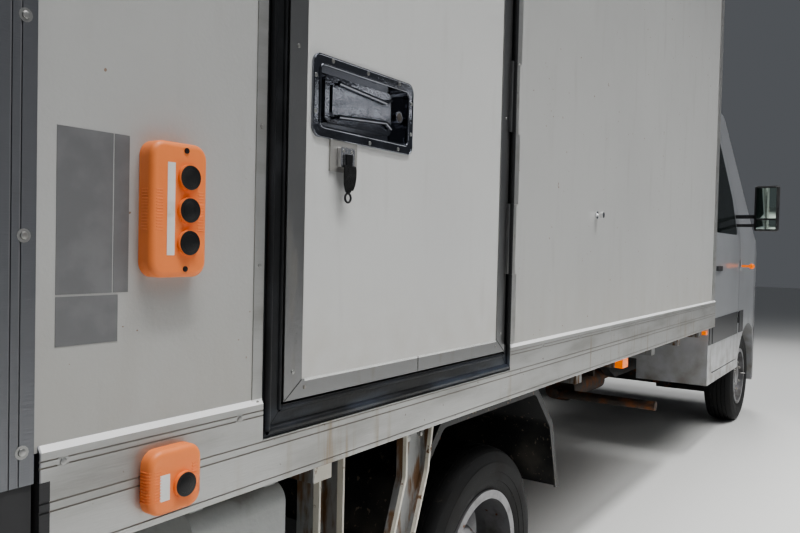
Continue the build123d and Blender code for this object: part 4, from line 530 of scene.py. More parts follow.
PADDLE_Y = -1.0668
bm = bmesh.new()
for side in SIDES:
    bend = (-2.545, PADDLE_Y, LATCH_MID[1] + side * 0.0212)
    add_rod(bm, (-2.706, PADDLE_Y, LATCH_MID[1] + side * 0.033), bend, 0.0042, sides=16)
    add_rod(bm, bend, (-2.520, PADDLE_Y + 0.004, LATCH_MID[1] + side * 0.031), 0.0038, sides=16)
add_rim(bm, 0.1702, 0.0782, 0.0182, -1.0656, 0.0020)
add_rim(bm, 0.1525, 0.0605, 0.0120, -1.0660, 0.0026)
piece("latch_ribs", bm, "side_door", chrome)

LOCK_X, LOCK_Z = -2.488, 1.587
bm = bmesh.new()
add_block(bm, (LOCK_X - 0.0025, -1.0642, LOCK_Z - 0.006), (LOCK_X + 0.0025, -1.0625, LOCK_Z + 0.006), 0.0005)
add_rod(bm, (LOCK_X, -1.0615, LOCK_Z), (LOCK_X, -1.0638, LOCK_Z), 0.0095, sides=20, round_off=0.0006)
piece("lock_face", bm, "side_door", joint_dark)

webbing = Look("black_webbing", (0.012, 0.012, 0.013), 0.85)
webbing.worn((0.03, 0.03, 0.031), 60, 0.45, 0.7)
webbing.relief(webbing.node("TexWave", webbing.place, 900.0), 0.0004)
TONGUE_X = -2.685
THIN = 0.0018
# Height, middle plane and half width down the tongue.
TONGUE = ((1.458, -1.0815, 0.018), (1.450, -1.0828, 0.019), (1.436, -1.0828, 0.019),
          (1.420, -1.0815, 0.017), (1.409, -1.0805, 0.012))
bm = bmesh.new()
rows = []
for z, y, half in TONGUE:
    corners = ((-half, THIN), (-half, -THIN), (half, -THIN), (half, THIN))
    rows.append([bm.verts.new((TONGUE_X + dx, y + dy, z)) for dx, dy in corners])
for above, below in zip(rows, rows[1:]):
    for k in range(4):
        bm.faces.new((above[k], above[(k + 1) % 4], below[(k + 1) % 4], below[k]))
bm.faces.new(rows[0])
bm.faces.new(rows[-1])
bmesh.ops.recalc_face_normals(bm, faces=bm.faces)
bmesh.ops.bevel(bm, geom=bm.edges[:], offset=0.0008, segments=2, profile=0.5, affect="EDGES",
                material=-1)
piece("clasp_webbing", bm, "side_door", webbing)


# Lift control boxes: orange polyamide shells with fine grip ridges round both flanks, push buttons under
# rubber caps in their collars, two screws and a blank white strip. Blank silver films stick to the wall.
orange = Look("orange_polyamide", (1.0, 0.30, 0.10), 0.4)
orange.worn((0.95, 0.26, 0.08), 7, 0.4, 0.7, rough=0.5)
orange.worn((0.62, 0.15, 0.06), 28, 0.68, 0.8, rough=0.6)
orange.grain(500, 0.0002)
dress(orange, "control_boxes")
black_plastic = Look("black_polymer", (0.010, 0.010, 0.011), 0.42)
black_plastic.worn((0.026, 0.025, 0.024), 14, 0.5, 0.75, rough=0.55)
black_plastic.grain(420, 0.0004)
BOX_FACE_Y = -1.090
BOX_MID_X = -3.109
BUTTON_X = -3.095
RIDGE_PITCH = 0.0046
bm = bmesh.new()
for lowest_z, count, half in ((1.316, 14, 0.053), (0.906, 11, 0.0495)):
    for side in SIDES:
        # How far a ridge lies in from the flank and back from the face, along its bend.
        bend = [(BOX_MID_X + side * (half - inward), BOX_FACE_Y + back) for inward, back in
                ((0.020, 0.0004), (0.009, 0.0008), (0.0028, 0.004), (0.0006, 0.010), (0.0006, 0.023))]
        for i in range(count):
            z = lowest_z + RIDGE_PITCH * i
            for (xa, ya), (xb, yb) in zip(bend, bend[1:]):
                add_rod(bm, (xa, ya, z), (xb, yb, z), 0.0013, sides=8)
piece("control_box_ribs", bm, "chassis", orange)

BUTTONS_Z = (1.297, 1.347, 1.397, 0.923)
BOX_SCREWS_Z = (1.438, 1.257)
bm = bmesh.new()
for z in BUTTONS_Z:
    add_rod(bm, (BUTTON_X, BOX_FACE_Y - 0.0058, z), (BUTTON_X, BOX_FACE_Y - 0.0072, z), 0.0188, sides=32,
            round_off=0.001)
    add_rod(bm, (BUTTON_X, BOX_FACE_Y + 0.0035, z), (BUTTON_X, BOX_FACE_Y - 0.0078, z), 0.0135, sides=24,
            round_off=0.0012)
for z in BOX_SCREWS_Z:
    add_dome(bm, (-3.099, BOX_FACE_Y - 0.0002, z), (0, -1, 0), 0.0045, 0.002)
piece("control_buttons", bm, "chassis", black_plastic)

blank_white = Look("blank_white_label", (0.78, 0.78, 0.76), 0.4)
blank_white.worn((0.62, 0.60, 0.56), 40, 0.5, 0.75)
# Left, right, lowest and highest of each strip and film.
STRIPS = ((-3.134, -3.120, 1.278, 1.418), (-3.140, -3.122, 0.905, 0.945))
FILMS = ((-3.292, -3.206, 1.223, 1.452), (-3.204, -3.179, 1.223, 1.452), (-3.292, -3.196, 1.152, 1.220))
bm = bmesh.new()
for x0, x1, z0, z1 in STRIPS:
    add_block(bm, (x0, BOX_FACE_Y - 0.0006, z0), (x1, BOX_FACE_Y + 0.001, z1))
piece("control_labels", bm, "chassis", blank_white)
silver_film = Look("blank_silver_film", (0.23, 0.23, 0.235), 0.4, 0.4)
silver_film.worn((0.27, 0.27, 0.275), 16, 0.4, 0.7, rough=0.42)
silver_film.grain(60, 0.0002)
bm = bmesh.new()
for x0, x1, z0, z1 in FILMS:
    add_block(bm, (x0, -1.0606, z0), (x1, -1.0595, z1))
piece("wall_films", bm, "chassis", silver_film)


# Chassis: black-painted channel frame with rusty patches; the hangers, floor bearers and underrun bars
# are galvanised, and the lift's power pack is a light grey moulded cover.
RUST = (0.23, 0.085, 0.03)
frame_paint = Look("chassis_black", (0.022, 0.022, 0.023), 0.5)
frame_paint.worn((0.075, 0.055, 0.04), 9, 0.5, 0.8, rough=0.8)
frame_paint.worn(RUST, 22, 0.66, 0.78, rough=0.85)
GALVANISED = (0.34, 0.345, 0.34)
HANGER_X = (-2.68, -2.25)
hangers_right = ((HANGER_X[0], -1.06, 0.5), (HANGER_X[1], -0.93, 0.87))
hangers_left = ((HANGER_X[0], 0.93, 0.5), (HANGER_X[1], 1.06, 0.87))
bearers = ((-LIMIT, -1.01, 0.799), (LIMIT, 1.01, 0.87))
for low_corner, high_corner in (hangers_right, hangers_left, bearers):
    hung = frame_paint.inside(low_corner, high_corner)
    frame_paint.over(hung, GALVANISED, 0.5, 0.65)
    rusty = frame_paint.rise(frame_paint.noise(16, 8.0, (2, 2, 0.5)), 0.46, 0.62)
    frame_paint.over(frame_paint.times(hung, rusty), (0.16, 0.09, 0.045), 0.8, 0.1)
# Painted highlight: light strips along the flanges of the galvanised hangers, with rust chips on them.
for y0, y1 in ((-1.005, -0.984), (0.984, 1.005), (-1.045, -1.030), (1.030, 1.045)):
    edge = frame_paint.inside((HANGER_X[0], y0, 0.5), (HANGER_X[1], y1, 0.86))
    frame_paint.over(edge, (0.70, 0.67, 0.59), 0.45, 0.1)
    chipped = frame_paint.rise(frame_paint.noise(45, 6.0), 0.6, 0.68)
    frame_paint.over(frame_paint.times(edge, chipped), (0.22, 0.12, 0.06), 0.8)
for side in SIDES:
    y0, y1 = on_side(side, 0.64, 1.01)
    pack = frame_paint.inside((-3.005, y0, 0.55), (-2.76, y1, 0.83))
    frame_paint.over(pack, (0.42, 0.43, 0.42), 0.5, 0.0)
    dusty = frame_paint.rise(frame_paint.noise(12, 7.0), 0.5, 0.75)
    frame_paint.over(frame_paint.times(pack, dusty), (0.24, 0.23, 0.21), 0.7)
frame_paint.grain(70, 0.0012)
dress(frame_paint, "chassis_frame")


# Hex bolts: zinc-plated heads on washers. They hold the hangers to the floor bearers, the lift's brackets
# and the bearers to the frame.
def add_hex(bm, place, outward, radius, height):
    place, outward = Vector(place), Vector(outward)
    add_rod(bm, place - outward * 0.001, place + outward * 0.0015, radius * 1.35, sides=20)
    add_rod(bm, place, place + outward * height, radius, sides=6, round_off=height * 0.15)


BEARER_X = (-2.955, -2.35, -1.25, -0.5, 0.25)
bm = bmesh.new()
for side in SIDES:
    for x in (-2.645, -2.595):
        for z in (0.60, 0.835):
            add_hex(bm, (x, side * 0.944, z), (0, side, 0), 0.009, 0.007)
    for x, z in ((-2.36, 0.835), (-2.30, 0.835), (-2.40, 0.56)):
        add_hex(bm, (x, side * 1.018, z), (0, side, 0), 0.009, 0.007)
    for x in (-2.82, -2.76, -2.70):
        add_hex(bm, (x, side * 0.6205, 0.49), (0, side, 0), 0.010, 0.008)
    for x in BEARER_X:
        for z in (0.655, 0.685):
            add_hex(bm, (x, side * 0.4355, z), (0, side, 0), 0.008, 0.007)
piece("chassis_bolts", bm, "chassis", zinc)


# Running gear: cast and pressed steel, black once, now dusty and rusty. The exhaust pipes have browned,
# the tank is black moulded plastic in two straps, and the mudguards are thin black plastic.
iron = Look("axle_steel_worn", (0.035, 0.034, 0.034), 0.6, 0.3)
iron.worn((0.11, 0.095, 0.08), 8, 0.45, 0.75, rough=0.85)
iron.worn(RUST, 17, 0.55, 0.72, rough=0.9)
iron.grain(60, 0.002)
dress(iron, "axles", "knuckle_left", "knuckle_right")
engine = Look("engine_casting", (0.13, 0.13, 0.13), 0.55, 0.6)
engine.worn((0.05, 0.045, 0.04), 7, 0.45, 0.7, rough=0.8)
# Rear, front, right and left of the silencer, the front pipe and the tail pipe.
EXHAUST = ((0.3, 1.1, -0.4, -0.1), (0.35, 2.8, -0.3, -0.2), (0.40, 0.46, -0.9, -0.2))
for x0, x1, y0, y1 in EXHAUST:
    pipe = engine.inside((x0, y0, 0.35), (x1, y1, 0.55))
    engine.over(pipe, (0.085, 0.07, 0.06), 0.6, 0.5)
    engine.over(engine.times(pipe, engine.rise(engine.noise(14, 7.0), 0.45, 0.7)), RUST, 0.85, 0.1)
engine.grain(40, 0.002)
dress(engine, "powertrain")
tank = Look("tank_polymer", (0.028, 0.028, 0.03), 0.55)
tank.worn((0.10, 0.09, 0.08), 6, 0.5, 0.8, rough=0.8)
tank.grain(260, 0.0005)
dress(tank, "fuel_tank")
STRAPS_X = (-0.475, 0.225)
STRAP_HALF = 0.018
bm = bmesh.new()
for x in STRAPS_X:
    for y, z0, z1 in ((0.494, 0.5, 0.76), (0.933, 0.53, 0.73)):
        add_block(bm, (x - STRAP_HALF, y, z0), (x + STRAP_HALF, y + 0.003, z1), 0.001)
add_rod(bm, (-0.1, 0.925, 0.66), (-0.1, 0.948, 0.66), 0.045, sides=32, round_off=0.005)
piece("tank_straps_and_cap", bm, "chassis", black_plastic)
guard_look = Look("mudguard_polymer", (0.018, 0.018, 0.019), 0.42)
guard_look.worn((0.10, 0.09, 0.075), 5, 0.48, 0.8, rough=0.75)
guard_look.over(guard_look.rise(guard_look.noise(70, 3.0), 0.64, 0.70), ROAD_DIRT, 0.85)
guard_look.grain(200, 0.0006)
dress(guard_look, "mudguards")


# Tyres: moulded rubber casings on the steel rims. Four grooves run round the tread, the shoulders are cut
# into open lugs, the ribs beside the middle have sipes, and raised rings run round the sidewall.
TYRE_R = 0.347
TREAD_STEPS = 168
FRONT_AXLE_X = 2.465
REAR_AXLE_X = -1.86
# Half section of a tyre: radius and distance from the middle plane. No point lies beyond TYRE_REACH.
TYRE_HALF = [(0.3385, 0.0), (0.3385, 0.004), (0.3468, 0.0045), (0.3466, 0.0255), (0.3385, 0.0265),
             (0.3385, 0.0335), (0.3462, 0.0345), (0.3455, 0.052), (0.3395, 0.053), (0.3395, 0.057),
             (0.3445, 0.058), (0.341, 0.076), (0.331, 0.0905), (0.318, 0.0955), (0.302, 0.0995),
             (0.301, 0.1012), (0.292, 0.1020), (0.286, 0.1022), (0.272, 0.1013), (0.271, 0.0998),
             (0.255, 0.0985), (0.246, 0.0980), (0.245, 0.0960), (0.236, 0.0950), (0.222, 0.0885),
             (0.2165, 0.0855), (0.2035, 0.0855)]
BEAD_R = TYRE_HALF[-1][0]
TYRE_REACH = 0.11
# Lugs and sipes: nearest and furthest from the middle plane, least radius, and how deep they are cut.
LUGS = (0.056, 0.089, 0.335, 0.0028)
SIPES = (0.03, 0.0525, 0.343, 0.003)
tread = Look("tyre_rubber", (0.006, 0.006, 0.0063), 0.66)
tread.worn((0.02, 0.0185, 0.017), 12, 0.48, 0.75, rough=0.85)
tread.worn((0.06, 0.053, 0.043), 50, 0.64, 0.76, rough=0.9)
tread.grain(340, 0.0005)


def add_tyre(bm, x, y):
    section = [(r, -d) for r, d in reversed(TYRE_HALF[1:])] + TYRE_HALF
    points = [bm.verts.new((x, y + d, TYRE_R + r)) for r, d in section]
    points.append(bm.verts.new((x, y, TYRE_R + BEAD_R)))
    edges = [bm.edges.new((points[i - 1], points[i])) for i in range(len(points))]
    bmesh.ops.spin(bm, geom=points + edges, cent=(x, y, TYRE_R), axis=(0, 1, 0), angle=2 * math.pi,
                   steps=TREAD_STEPS, use_merge=True)
    for v in [v for v in bm.verts if abs(v.co.y - y) < TYRE_REACH]:
        away = Vector((v.co.x - x, 0, v.co.z - TYRE_R))
        off = abs(v.co.y - y)
        step = round(math.atan2(away.z, away.x) / (2 * math.pi) * TREAD_STEPS)
        for (nearest, furthest, least_r, depth), spacing in ((LUGS, 2), (SIPES, 3)):
            if nearest < off < furthest and away.length > least_r and step % spacing == 0:
                v.co -= away.normalized() * depth


HANDS = ((1, "left"), (-1, "right"))
for tyre, wheel, x, places in (("front_tyre_", "front_wheel_", FRONT_AXLE_X, (0.852,)),
                               ("rear_tyres_", "rear_wheels_", REAR_AXLE_X, (0.882, 0.648))):
    for side, hand in HANDS:
        bm = bmesh.new()
        for y in places:
            add_tyre(bm, x, side * y)
        name = tyre + hand
        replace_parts(piece(name + "_treaded", bm, wheel + hand, tread, sharp=28), name)


# Wheels: silver-lacquered steel discs dulled by brake dust, each held by six zinc-plated nuts on studs,
# with a valve stem.
rim = Look("rim_silver_paint", (0.33, 0.33, 0.34), 0.4, 0.8)
rim.worn((0.15, 0.14, 0.13), 10, 0.42, 0.72, rough=0.6)
rim.worn(RUST, 34, 0.66, 0.76, rough=0.85)
rim.grain(120, 0.0006)
dress(rim, "front_rim_left", "front_rim_right", "rear_rims_left", "rear_rims_right")
NUT_RING = 0.106
NUTS = 6
VALVE_R = 0.172
for nuts, wheel, x, face in (("front_nuts_", "front_wheel_", FRONT_AXLE_X, 0.915),
                             ("rear_nuts_", "rear_wheels_", REAR_AXLE_X, 0.7905)):
    for side, hand in HANDS:
        bm = bmesh.new()
        for i in range(NUTS):
            a = 2 * math.pi * (i + 0.5) / NUTS
            at = Vector((x + NUT_RING * math.cos(a), side * face, TYRE_R + NUT_RING * math.sin(a)))
            add_hex(bm, at, (0, side, 0), 0.0125, 0.021)
            stud = at + Vector((0, side * 0.018, 0))
            add_rod(bm, stud, stud + Vector((0, side * 0.008, 0)), 0.007, sides=12)
        valve = Vector((x + VALVE_R, side * (face + 0.012), TYRE_R))
        add_rod(bm, valve, valve + Vector((0.006, side * 0.035, 0)), 0.004, sides=10, round_off=0.001)
        piece(nuts + hand, bm, wheel + hand, zinc)


# Cab: welded steel shell in silver-white metallic lacquer under clear coat. The bumper, cladding, mirror
# housings and handles are black mouldings, and the dashboard is dark grey.
paint = Look("cab_lacquer", (0.50, 0.51, 0.53), 0.3, 0.35)
paint.set("Coat Weight", 0.6)
paint.worn((0.44, 0.45, 0.465), 2.0, 0.35, 0.7)
spray = paint.times(paint.rise(paint.axis(2), 0.95, 0.5), paint.rise(paint.noise(9, 8.0), 0.3, 0.8))
paint.over(spray, (0.25, 0.23, 0.20), 0.65, 0.0)
for side in SIDES:
    y0, y1 = on_side(side, 0.9965, 1.05)
    cladding = paint.inside((1.0, y0, 0.70), (2.3, y1, 0.90))
    paint.over(cladding, (0.022, 0.022, 0.024), 0.5, 0.0)
    y0, y1 = on_side(side, 0.9968, 1.05)
    handle = paint.inside((1.22, y0, 1.18), (1.42, y1, 1.23))
    paint.over(handle, (0.02, 0.02, 0.022), 0.4, 0.0)
# The cabin's own faces: within the roof, the walls that lean in above the waist, and the sloping screen.
WAIST_Z = 1.4
WALL_LEAN = 0.137
CABIN_HALF = 0.945
SCREEN_SLOPE = 1.19
SCREEN_REACH = 4.577
above_waist = paint.node("Math", paint.axis(2), WAIST_Z, operation="SUBTRACT")
above_waist = paint.node("Math", above_waist, 0.0, operation="MAXIMUM")
across = paint.node("Math", paint.axis(1), operation="ABSOLUTE")
across = paint.node("Math", above_waist, WALL_LEAN, across, operation="MULTIPLY_ADD")
screen_line = paint.node("Math", paint.axis(0), SCREEN_SLOPE, paint.axis(2), operation="MULTIPLY_ADD")
cabin = paint.times(paint.node("Math", across, CABIN_HALF, operation="LESS_THAN"),
                    paint.node("Math", screen_line, SCREEN_REACH, operation="LESS_THAN"))
cabin = paint.times(cabin, paint.inside((1.10, -1.0, 0.62), (2.62, 1.0, 2.362)))
paint.over(cabin, (0.085, 0.088, 0.095), 0.7, 0.0)
paint.grain(900, 0.00005)
dress(paint, "cab_shell", "cab_door_left", "cab_door_right", "bonnet")
bumper_look = Look("bumper_polymer", (0.028, 0.028, 0.03), 0.5)
bumper_look.worn((0.07, 0.067, 0.062), 6, 0.5, 0.8, rough=0.7)
bumper_look.grain(380, 0.0005)
dress(bumper_look, "front_bumper", "mirror_left", "mirror_right")
dash_look = Look("dash_polymer", (0.03, 0.031, 0.033), 0.62)
dash_look.worn((0.055, 0.055, 0.056), 10, 0.5, 0.8)
dash_look.grain(500, 0.0006)
dress(dash_look, "dashboard")


# Glazing: green-tinted safety glass bonded in, with a black fired border on the windscreen and a little
# dust. The doors have darker glass, and two silvered mirrors sit in each door mirror's housing.
glass = Look("tinted_glass", (0.62, 0.72, 0.68), 0.02)
glass.set("Transmission Weight", 1.0).set("IOR", 1.02)
glass.over(glass.rise(glass.noise(6, 8.0), 0.55, 0.8), rough=0.12)
# Right, left, lowest and highest of the border's four bands.
BORDER = ((-LIMIT, -0.735, 1.3, 2.4), (0.735, LIMIT, 1.3, 2.4),
          (-LIMIT, LIMIT, 1.3, 1.512), (-LIMIT, LIMIT, 2.225, 2.4))
for y0, y1, z0, z1 in BORDER:
    band = glass.inside((1.88, y0, z0), (2.8, y1, z1))
    glass.over(band, (0.01, 0.01, 0.011), 0.15, clear=0.0)
dress(glass, "windscreen")
side_glass = Look("dark_side_glass", (0.10, 0.12, 0.12), 0.04)
side_glass.set("Transmission Weight", 0.85).set("IOR", 1.1)
side_glass.over(side_glass.rise(side_glass.noise(7, 7.0), 0.55, 0.8), rough=0.14)
dress(side_glass, "door_glass_left", "door_glass_right")
mirror_face = Look("mirror_glass", (0.56, 0.66, 0.60), 0.03, 1.0)
mirror_face.over(mirror_face.rise(mirror_face.noise(9, 6.0), 0.5, 0.8), rough=0.12)
for side, hand in HANDS:
    bm = bmesh.new()
    y0, y1 = on_side(side, 1.112, 1.238)
    for z0, z1 in ((1.560, 1.775), (1.485, 1.548)):
        add_block(bm, (1.9435, y0, z0), (1.9465, y1, z1), 0.001)
    piece("mirror_face_" + hand, bm, "cab_door_" + hand, mirror_face)


# Wipers: two black sprung arms with rubber blades that park along the foot of the windscreen. OUT points
# away from the glass.
OUT = Vector((0.766, 0, 0.643))
bm = bmesh.new()
for pivot_y, far_y in ((0.62, -0.02), (-0.06, -0.66)):
    foot = Vector((2.672, pivot_y, 1.452)) + OUT * 0.012
    tip = Vector((2.585, (pivot_y + far_y) / 2, 1.556)) + OUT * 0.018
    add_rod(bm, foot, tip, 0.007, tip=0.004, sides=10)
    add_rod(bm, foot - OUT * 0.02, foot + OUT * 0.012, 0.014, sides=16, round_off=0.003)
    add_rod(bm, (tip.x, pivot_y - 0.02, tip.z), (tip.x, far_y, tip.z), 0.005, sides=8)
    blade = Vector((tip.x, 0, tip.z)) - OUT * 0.012
    add_rod(bm, (blade.x, pivot_y - 0.01, blade.z), (blade.x, far_y - 0.01, blade.z), 0.0035, sides=8)
piece("wipers", bm, "chassis", black_plastic)


# Number plates: blank white plates of pressed sheet, screwed to the front bumper and over the middle
# underrun bar.
bm = bmesh.new()
add_block(bm, (3.4575, -0.258, 0.551), (3.4605, 0.258, 0.657), 0.001)
add_block(bm, (-3.3735, -0.26, 0.405), (-3.3695, 0.26, 0.495), 0.001)
piece("blank_plates", bm, "chassis", blank_white)


# Lamps: amber side markers and stalk lamps that are lit, and red and amber cells in black rear clusters.
# All are moulded lenses, screwed or clipped on.
lamp_look = Look("lamp_lenses", (0.85, 0.17, 0.01), 0.15)
lamp_look.set("Emission Color", (0.45, 0.10, 0.007, 1))
CLUSTER_FRONT_X = -3.3
lit = lamp_look.node("Math", lamp_look.axis(0), CLUSTER_FRONT_X, operation="GREATER_THAN")
lamp_look.tree.links.new(lit, lamp_look.shader.inputs["Emission Strength"])
CELL_TINTS = ((0.42, 0.012, 0.01), (0.45, 0.012, 0.01), (0.75, 0.20, 0.02))
CELL_PITCH = 0.096
CELL_W = 0.09
for side in SIDES:
    y0, y1 = on_side(side, 0.70, 1.004)
    case = lamp_look.inside((-3.392, y0, 0.68), (CLUSTER_FRONT_X, y1, 0.81))
    lamp_look.over(case, (0.02, 0.02, 0.021), 0.5)
    for k, tint in enumerate(CELL_TINTS):
        inner = 0.712 + CELL_PITCH * k
        y0, y1 = on_side(side, inner, inner + CELL_W)
        cell = lamp_look.inside((-3.392, y0, 0.698), (-3.383, y1, 0.792))
        lamp_look.over(cell, tint, 0.12)
lamp_look.relief(lamp_look.noise(70, 2.0, (1, 1, 3)), 0.001)
dress(lamp_look, "lamps")


# Headlamps: clear moulded lenses over bright reflectors, with frosted bulbs, and round fog lamps low in the
# bumper.
head_look = Look("headlamp_lens", (0.86, 0.88, 0.9), 0.05)
head_look.set("Transmission Weight", 0.95).set("IOR", 1.05)
head_look.over(head_look.rise(head_look.noise(11, 6.0), 0.5, 0.8), rough=0.16)
reflector = head_look.inside((3.165, -LIMIT, 0.7), (3.2515, LIMIT, 1.1))
head_look.over(reflector, (0.92, 0.92, 0.93), 0.28, 0.5, 0.0)
dress(head_look, "headlamps")
clear_bulb = Look("frosted_bulb", (0.85, 0.84, 0.78), 0.2)
clear_bulb.worn((0.7, 0.68, 0.6), 80, 0.4, 0.7)
FOG_LAMP = (3.40, 0.690, 0.430)


def add_ball(bm, place, radius):
    bmesh.ops.create_uvsphere(bm, u_segments=20, v_segments=12, radius=radius,
                              matrix=Matrix.Translation(place))


bm = bmesh.new()
for side in SIDES:
    for y, z, r in ((0.700, 0.970, 0.026), (0.670, 0.858, 0.016)):
        add_ball(bm, (3.222, side * y, z), r)
        add_rod(bm, (3.20, side * y, z), (3.222, side * y, z), r * 0.8)
    x, y, z = FOG_LAMP
    add_ball(bm, (x, side * y, z), 0.03)
    add_rod(bm, (x - 0.04, side * y, z), (x, side * y, z), 0.044, sides=28)
piece("lamp_bulbs", bm, "chassis", clear_bulb)


# Grille backing: black wire mesh, moulded in one and clipped in behind the grille's slots and behind the
# bumper's intake.
mesh_look = Look("grille_mesh", (0.015, 0.015, 0.016), 0.6)
mesh_look.worn((0.05, 0.047, 0.04), 20, 0.5, 0.75)
WIRE_HALF = 0.0015
bm = bmesh.new()
for count, half, x, z0, z1 in ((44, 0.53, 3.345, 0.795, 1.04), (34, 0.43, 3.405, 0.376, 0.496)):
    for i in range(count):
        y = -half + 2 * half * i / (count - 1)
        add_block(bm, (x, y - WIRE_HALF, z0), (x + 0.004, y + WIRE_HALF, z1))
for i in range(12):
    z = 0.80 + 0.02 * i
    add_block(bm, (3.342, -0.53, z - WIRE_HALF), (3.346, 0.53, z + WIRE_HALF))
piece("grille_backing", bm, "chassis", mesh_look)


# Load floor: brown phenolic plywood with a pressed anti-slip face, screwed down and scuffed along its
# length by trolleys.
deck = Look("phenolic_deck", (0.060, 0.038, 0.026), 0.55)
deck.worn((0.13, 0.10, 0.075), 4, 0.45, 0.75, (0.4, 3, 1), rough=0.7)
deck.relief(deck.node("TexVoronoi", deck.place, 0.0, 160.0), 0.001)
dress(deck, "box_floor")


# Cooling unit: white moulded housing bolted to the body's front wall, with black louvre throats, a fan
# behind a wire guard and seams that are screwed down.
housing = Look("unit_housing", (0.62, 0.63, 0.63), 0.4)
housing.worn((0.52, 0.52, 0.51), 3, 0.45, 0.75)
housing.over(housing.rise(housing.noise(11, 8.0, (1, 1, 0.4)), 0.58, 0.8), (0.36, 0.34, 0.31), 0.6)
throats = housing.inside((1.14, -0.72, 2.55), (1.290, 0.72, 2.99))
housing.over(throats, (0.02, 0.02, 0.021), 0.6)
FAN_Z = 2.79
FAN_OPENING_R = 0.206
from_fan = housing.node("VectorMath", housing.place, (1.3, 0, FAN_Z), operation="SUBTRACT")
from_fan = housing.node("VectorMath", from_fan, (0, 1, 1), operation="MULTIPLY")
reach = housing.node("VectorMath", from_fan, operation="LENGTH").node.outputs["Value"]
guarded = housing.node("Math", reach, FAN_OPENING_R, operation="LESS_THAN")
guarded = housing.times(guarded, housing.inside((1.1, -1, 2.4), (1.4, 1, 3.1)))
housing.over(guarded, (0.02, 0.02, 0.021), 0.5)
housing.grain(220, 0.0004)
dress(housing, "cooling_unit")
dress(black_plastic, "condenser_fan")
RING_X = 1.3245
RING_STEPS = 40
bm = bmesh.new()
for radius in (0.045, 0.075, 0.105, 0.135, 0.165):
    ring = [(RING_X, radius * math.cos(a), FAN_Z + radius * math.sin(a))
            for a in (2 * math.pi * k / RING_STEPS for k in range(RING_STEPS))]
    for start, end in zip(ring, ring[1:] + ring[:1]):
        add_rod(bm, start, end, 0.002, sides=6)
piece("fan_guard_rings", bm, "chassis", black_plastic)
bm = bmesh.new()
for side in SIDES:
    for x in (0.95, 1.10):
        for z in (2.56, 2.80, 2.98):
            add_dome(bm, (x, side * 0.7995, z), (0, side, 0), *RIVET)
piece("unit_screws", bm, "chassis", zinc)


# Tail lift: black-painted arms and head, chromed ram rods, and a platform of hollow aluminium planks whose
# upper face has a raised grip pattern.
lift_paint = Look("lift_black", (0.024, 0.024, 0.025), 0.42)
lift_paint.worn((0.07, 0.06, 0.05), 11, 0.5, 0.78, rough=0.7)
lift_paint.worn(RUST, 26, 0.66, 0.78, rough=0.85)
lift_paint.grain(80, 0.0006)
dress(lift_paint, "lift_arms", "lift_ties", "lift_head", "lift_barrels")
rod_chrome = Look("ram_chrome", (0.55, 0.55, 0.56), 0.12, 1.0)
rod_chrome.worn((0.30, 0.29, 0.27), 40, 0.55, 0.75, rough=0.35)
dress(rod_chrome, "lift_pistons")
plank = Look("platform_aluminium", (0.50, 0.505, 0.51), 0.4, 0.85)
plank.worn((0.42, 0.42, 0.415), 4, 0.42, 0.75, (1, 3, 0.6), rough=0.55)
scuffs = plank.rise(plank.noise(30, 8.0, (1, 3, 0.4)), 0.62, 0.78)
plank.over(scuffs, (0.37, 0.355, 0.33), 0.6, 0.5)
upper_face = plank.inside((-3.4025, -1.01, 1.02), (-3.40, 1.01, 2.77))
plank.over(upper_face, (0.26, 0.26, 0.262), 0.6, 0.7)
plank.relief(plank.node("TexWave", plank.place, 70.0), 0.0012)
dress(plank, "lift_platform")


# Seats: dark woven covers stretched over foam, with sewn channels across the cushions and backs. Black
# pedestals and headrest posts carry them.
fabric = Look("seat_weave", (0.035, 0.037, 0.042), 0.92)
fabric.worn((0.055, 0.057, 0.062), 18, 0.45, 0.7)
fabric.relief(fabric.node("TexWave", fabric.place, 420.0), 0.0006)
fabric.grain(900, 0.0004)
# Across the cab: right edge, left edge, and how far forward the cushion reaches.
SEATS = [(0.270, 0.780, 1.750), (-0.780, -0.270, 1.750), (-0.265, 0.265, 1.700)]
HEADREST_HALF = 0.113
bm = bmesh.new()
for y0, y1, front in SEATS:
    middle = (y0 + y1) / 2
    add_block(bm, (1.292, y0 + 0.012, 0.792), (front - 0.012, y1 - 0.012, 0.918), 0.035, 3)
    # The back and its headrest: foot and head as x and z, half width and half thickness.
    back = ((1.240, 0.925), (1.1685, 1.545), (y1 - y0) / 2 - 0.034, 0.045)
    headrest = ((1.168, 1.604), (1.164, 1.738), HEADREST_HALF, 0.028)
    for foot, head, half, thick in (back, headrest):
        made = bmesh.ops.create_cube(bm, size=1.0)["verts"]
        along = Vector((head[0] - foot[0], 0, head[1] - foot[1]))
        lean = along.to_track_quat("Z", "Y").to_matrix() @ Matrix.Rotation(math.radians(90), 3, "Z")
        bmesh.ops.scale(bm, vec=(2 * thick, 2 * half, along.length), verts=made)
        bmesh.ops.rotate(bm, verts=made, cent=(0, 0, 0), matrix=lean)
        bmesh.ops.translate(bm, verts=made, vec=((head[0] + foot[0]) / 2, middle, (head[1] + foot[1]) / 2))
        edges = list({edge for v in made for edge in v.link_edges})
        bmesh.ops.bevel(bm, geom=edges, offset=0.022, segments=3, profile=0.5, affect="EDGES", material=-1)
pads = piece("seat_pads", bm, "chassis", fabric, sharp=180)
VOXEL = 0.016
STUFFING_PRESSURE = 4.0
SETTLING_FRAMES = 20
LARGEST_SWELL = 0.009
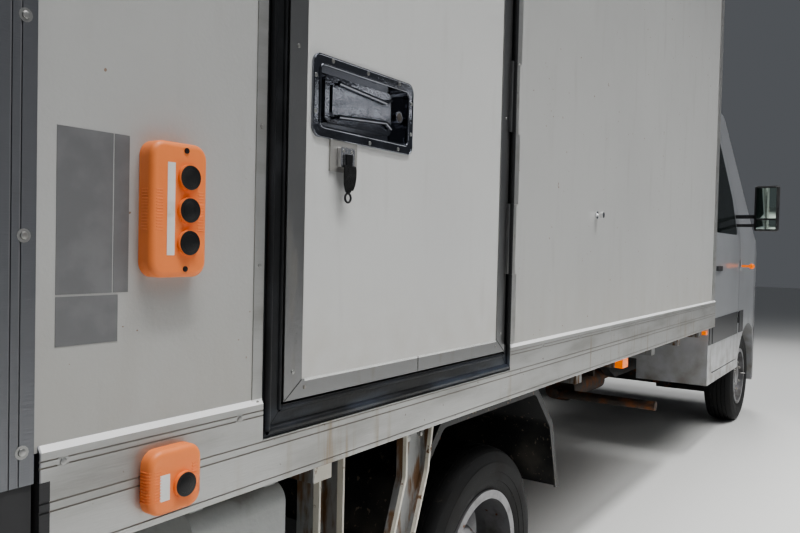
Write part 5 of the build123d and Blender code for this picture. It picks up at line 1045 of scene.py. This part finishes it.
# Sewn channels: two across each cushion's top, three across the front of each back.
CUSHION_CHANNELS_X = (1.44, 1.58)
BACK_CHANNELS_Z = (1.08, 1.24, 1.40)
CHANNEL_DEPTH = 0.006
CHANNEL_HALF = 0.012
CUSHION_FACE_Z = 0.90
BACK_FOOT_Z = 0.93
BACK_TOP_Z = 1.57


def channel_depth(at, channels):
    near = min(abs(at - channel) for channel in channels)
    return CHANNEL_DEPTH * math.exp(-(near / CHANNEL_HALF) ** 2)


remesh = pads.modifiers.new("even", "REMESH")
remesh.mode = "VOXEL"
remesh.voxel_size = VOXEL
bpy.context.view_layer.objects.active = pads
bpy.ops.object.select_all(action="DESELECT")
pads.select_set(True)
bpy.ops.object.modifier_apply(modifier="even")
before = [v.co.copy() for v in pads.data.vertices]
cloth = pads.modifiers.new("stuffing", "CLOTH")
cloth.settings.use_pressure = True
cloth.settings.uniform_pressure_force = STUFFING_PRESSURE
cloth.settings.effector_weights.gravity = 0
cloth.point_cache.frame_start = 1
cloth.point_cache.frame_end = SETTLING_FRAMES
for moment in range(1, SETTLING_FRAMES + 1):
    bpy.context.scene.frame_set(moment)
bpy.ops.object.modifier_apply(modifier="stuffing")
bpy.context.scene.frame_set(1)
for v, old in zip(pads.data.vertices, before):
    move = v.co - old
    if move.length > LARGEST_SWELL:
        v.co = old + move.normalized() * LARGEST_SWELL
for v in pads.data.vertices:
    if CUSHION_FACE_Z < v.co.z < BACK_FOOT_Z:
        v.co.z -= channel_depth(v.co.x, CUSHION_CHANNELS_X)
    elif BACK_FOOT_Z <= v.co.z < BACK_TOP_Z and v.co.x > 1.19 + (1.24 - v.co.z) * 0.1:
        v.co.x -= channel_depth(v.co.z, BACK_CHANNELS_Z)
for face in pads.data.polygons:
    face.use_smooth = True
finer = pads.modifiers.new("finer", "SUBSURF")
finer.levels = 1
finer.render_levels = 1
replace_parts(pads, "seats")
POST_OFFSET = 0.06
bm = bmesh.new()
for y0, y1, _ in SEATS:
    add_block(bm, (1.322, y0 + 0.062, 0.641), (1.648, y1 - 0.062, 0.781), 0.008)
    for side in SIDES:
        y = (y0 + y1) / 2 + side * POST_OFFSET
        add_rod(bm, (1.168, y, 1.535), (1.168, y, 1.612), 0.006)
piece("seat_bases", bm, "chassis", black_plastic)
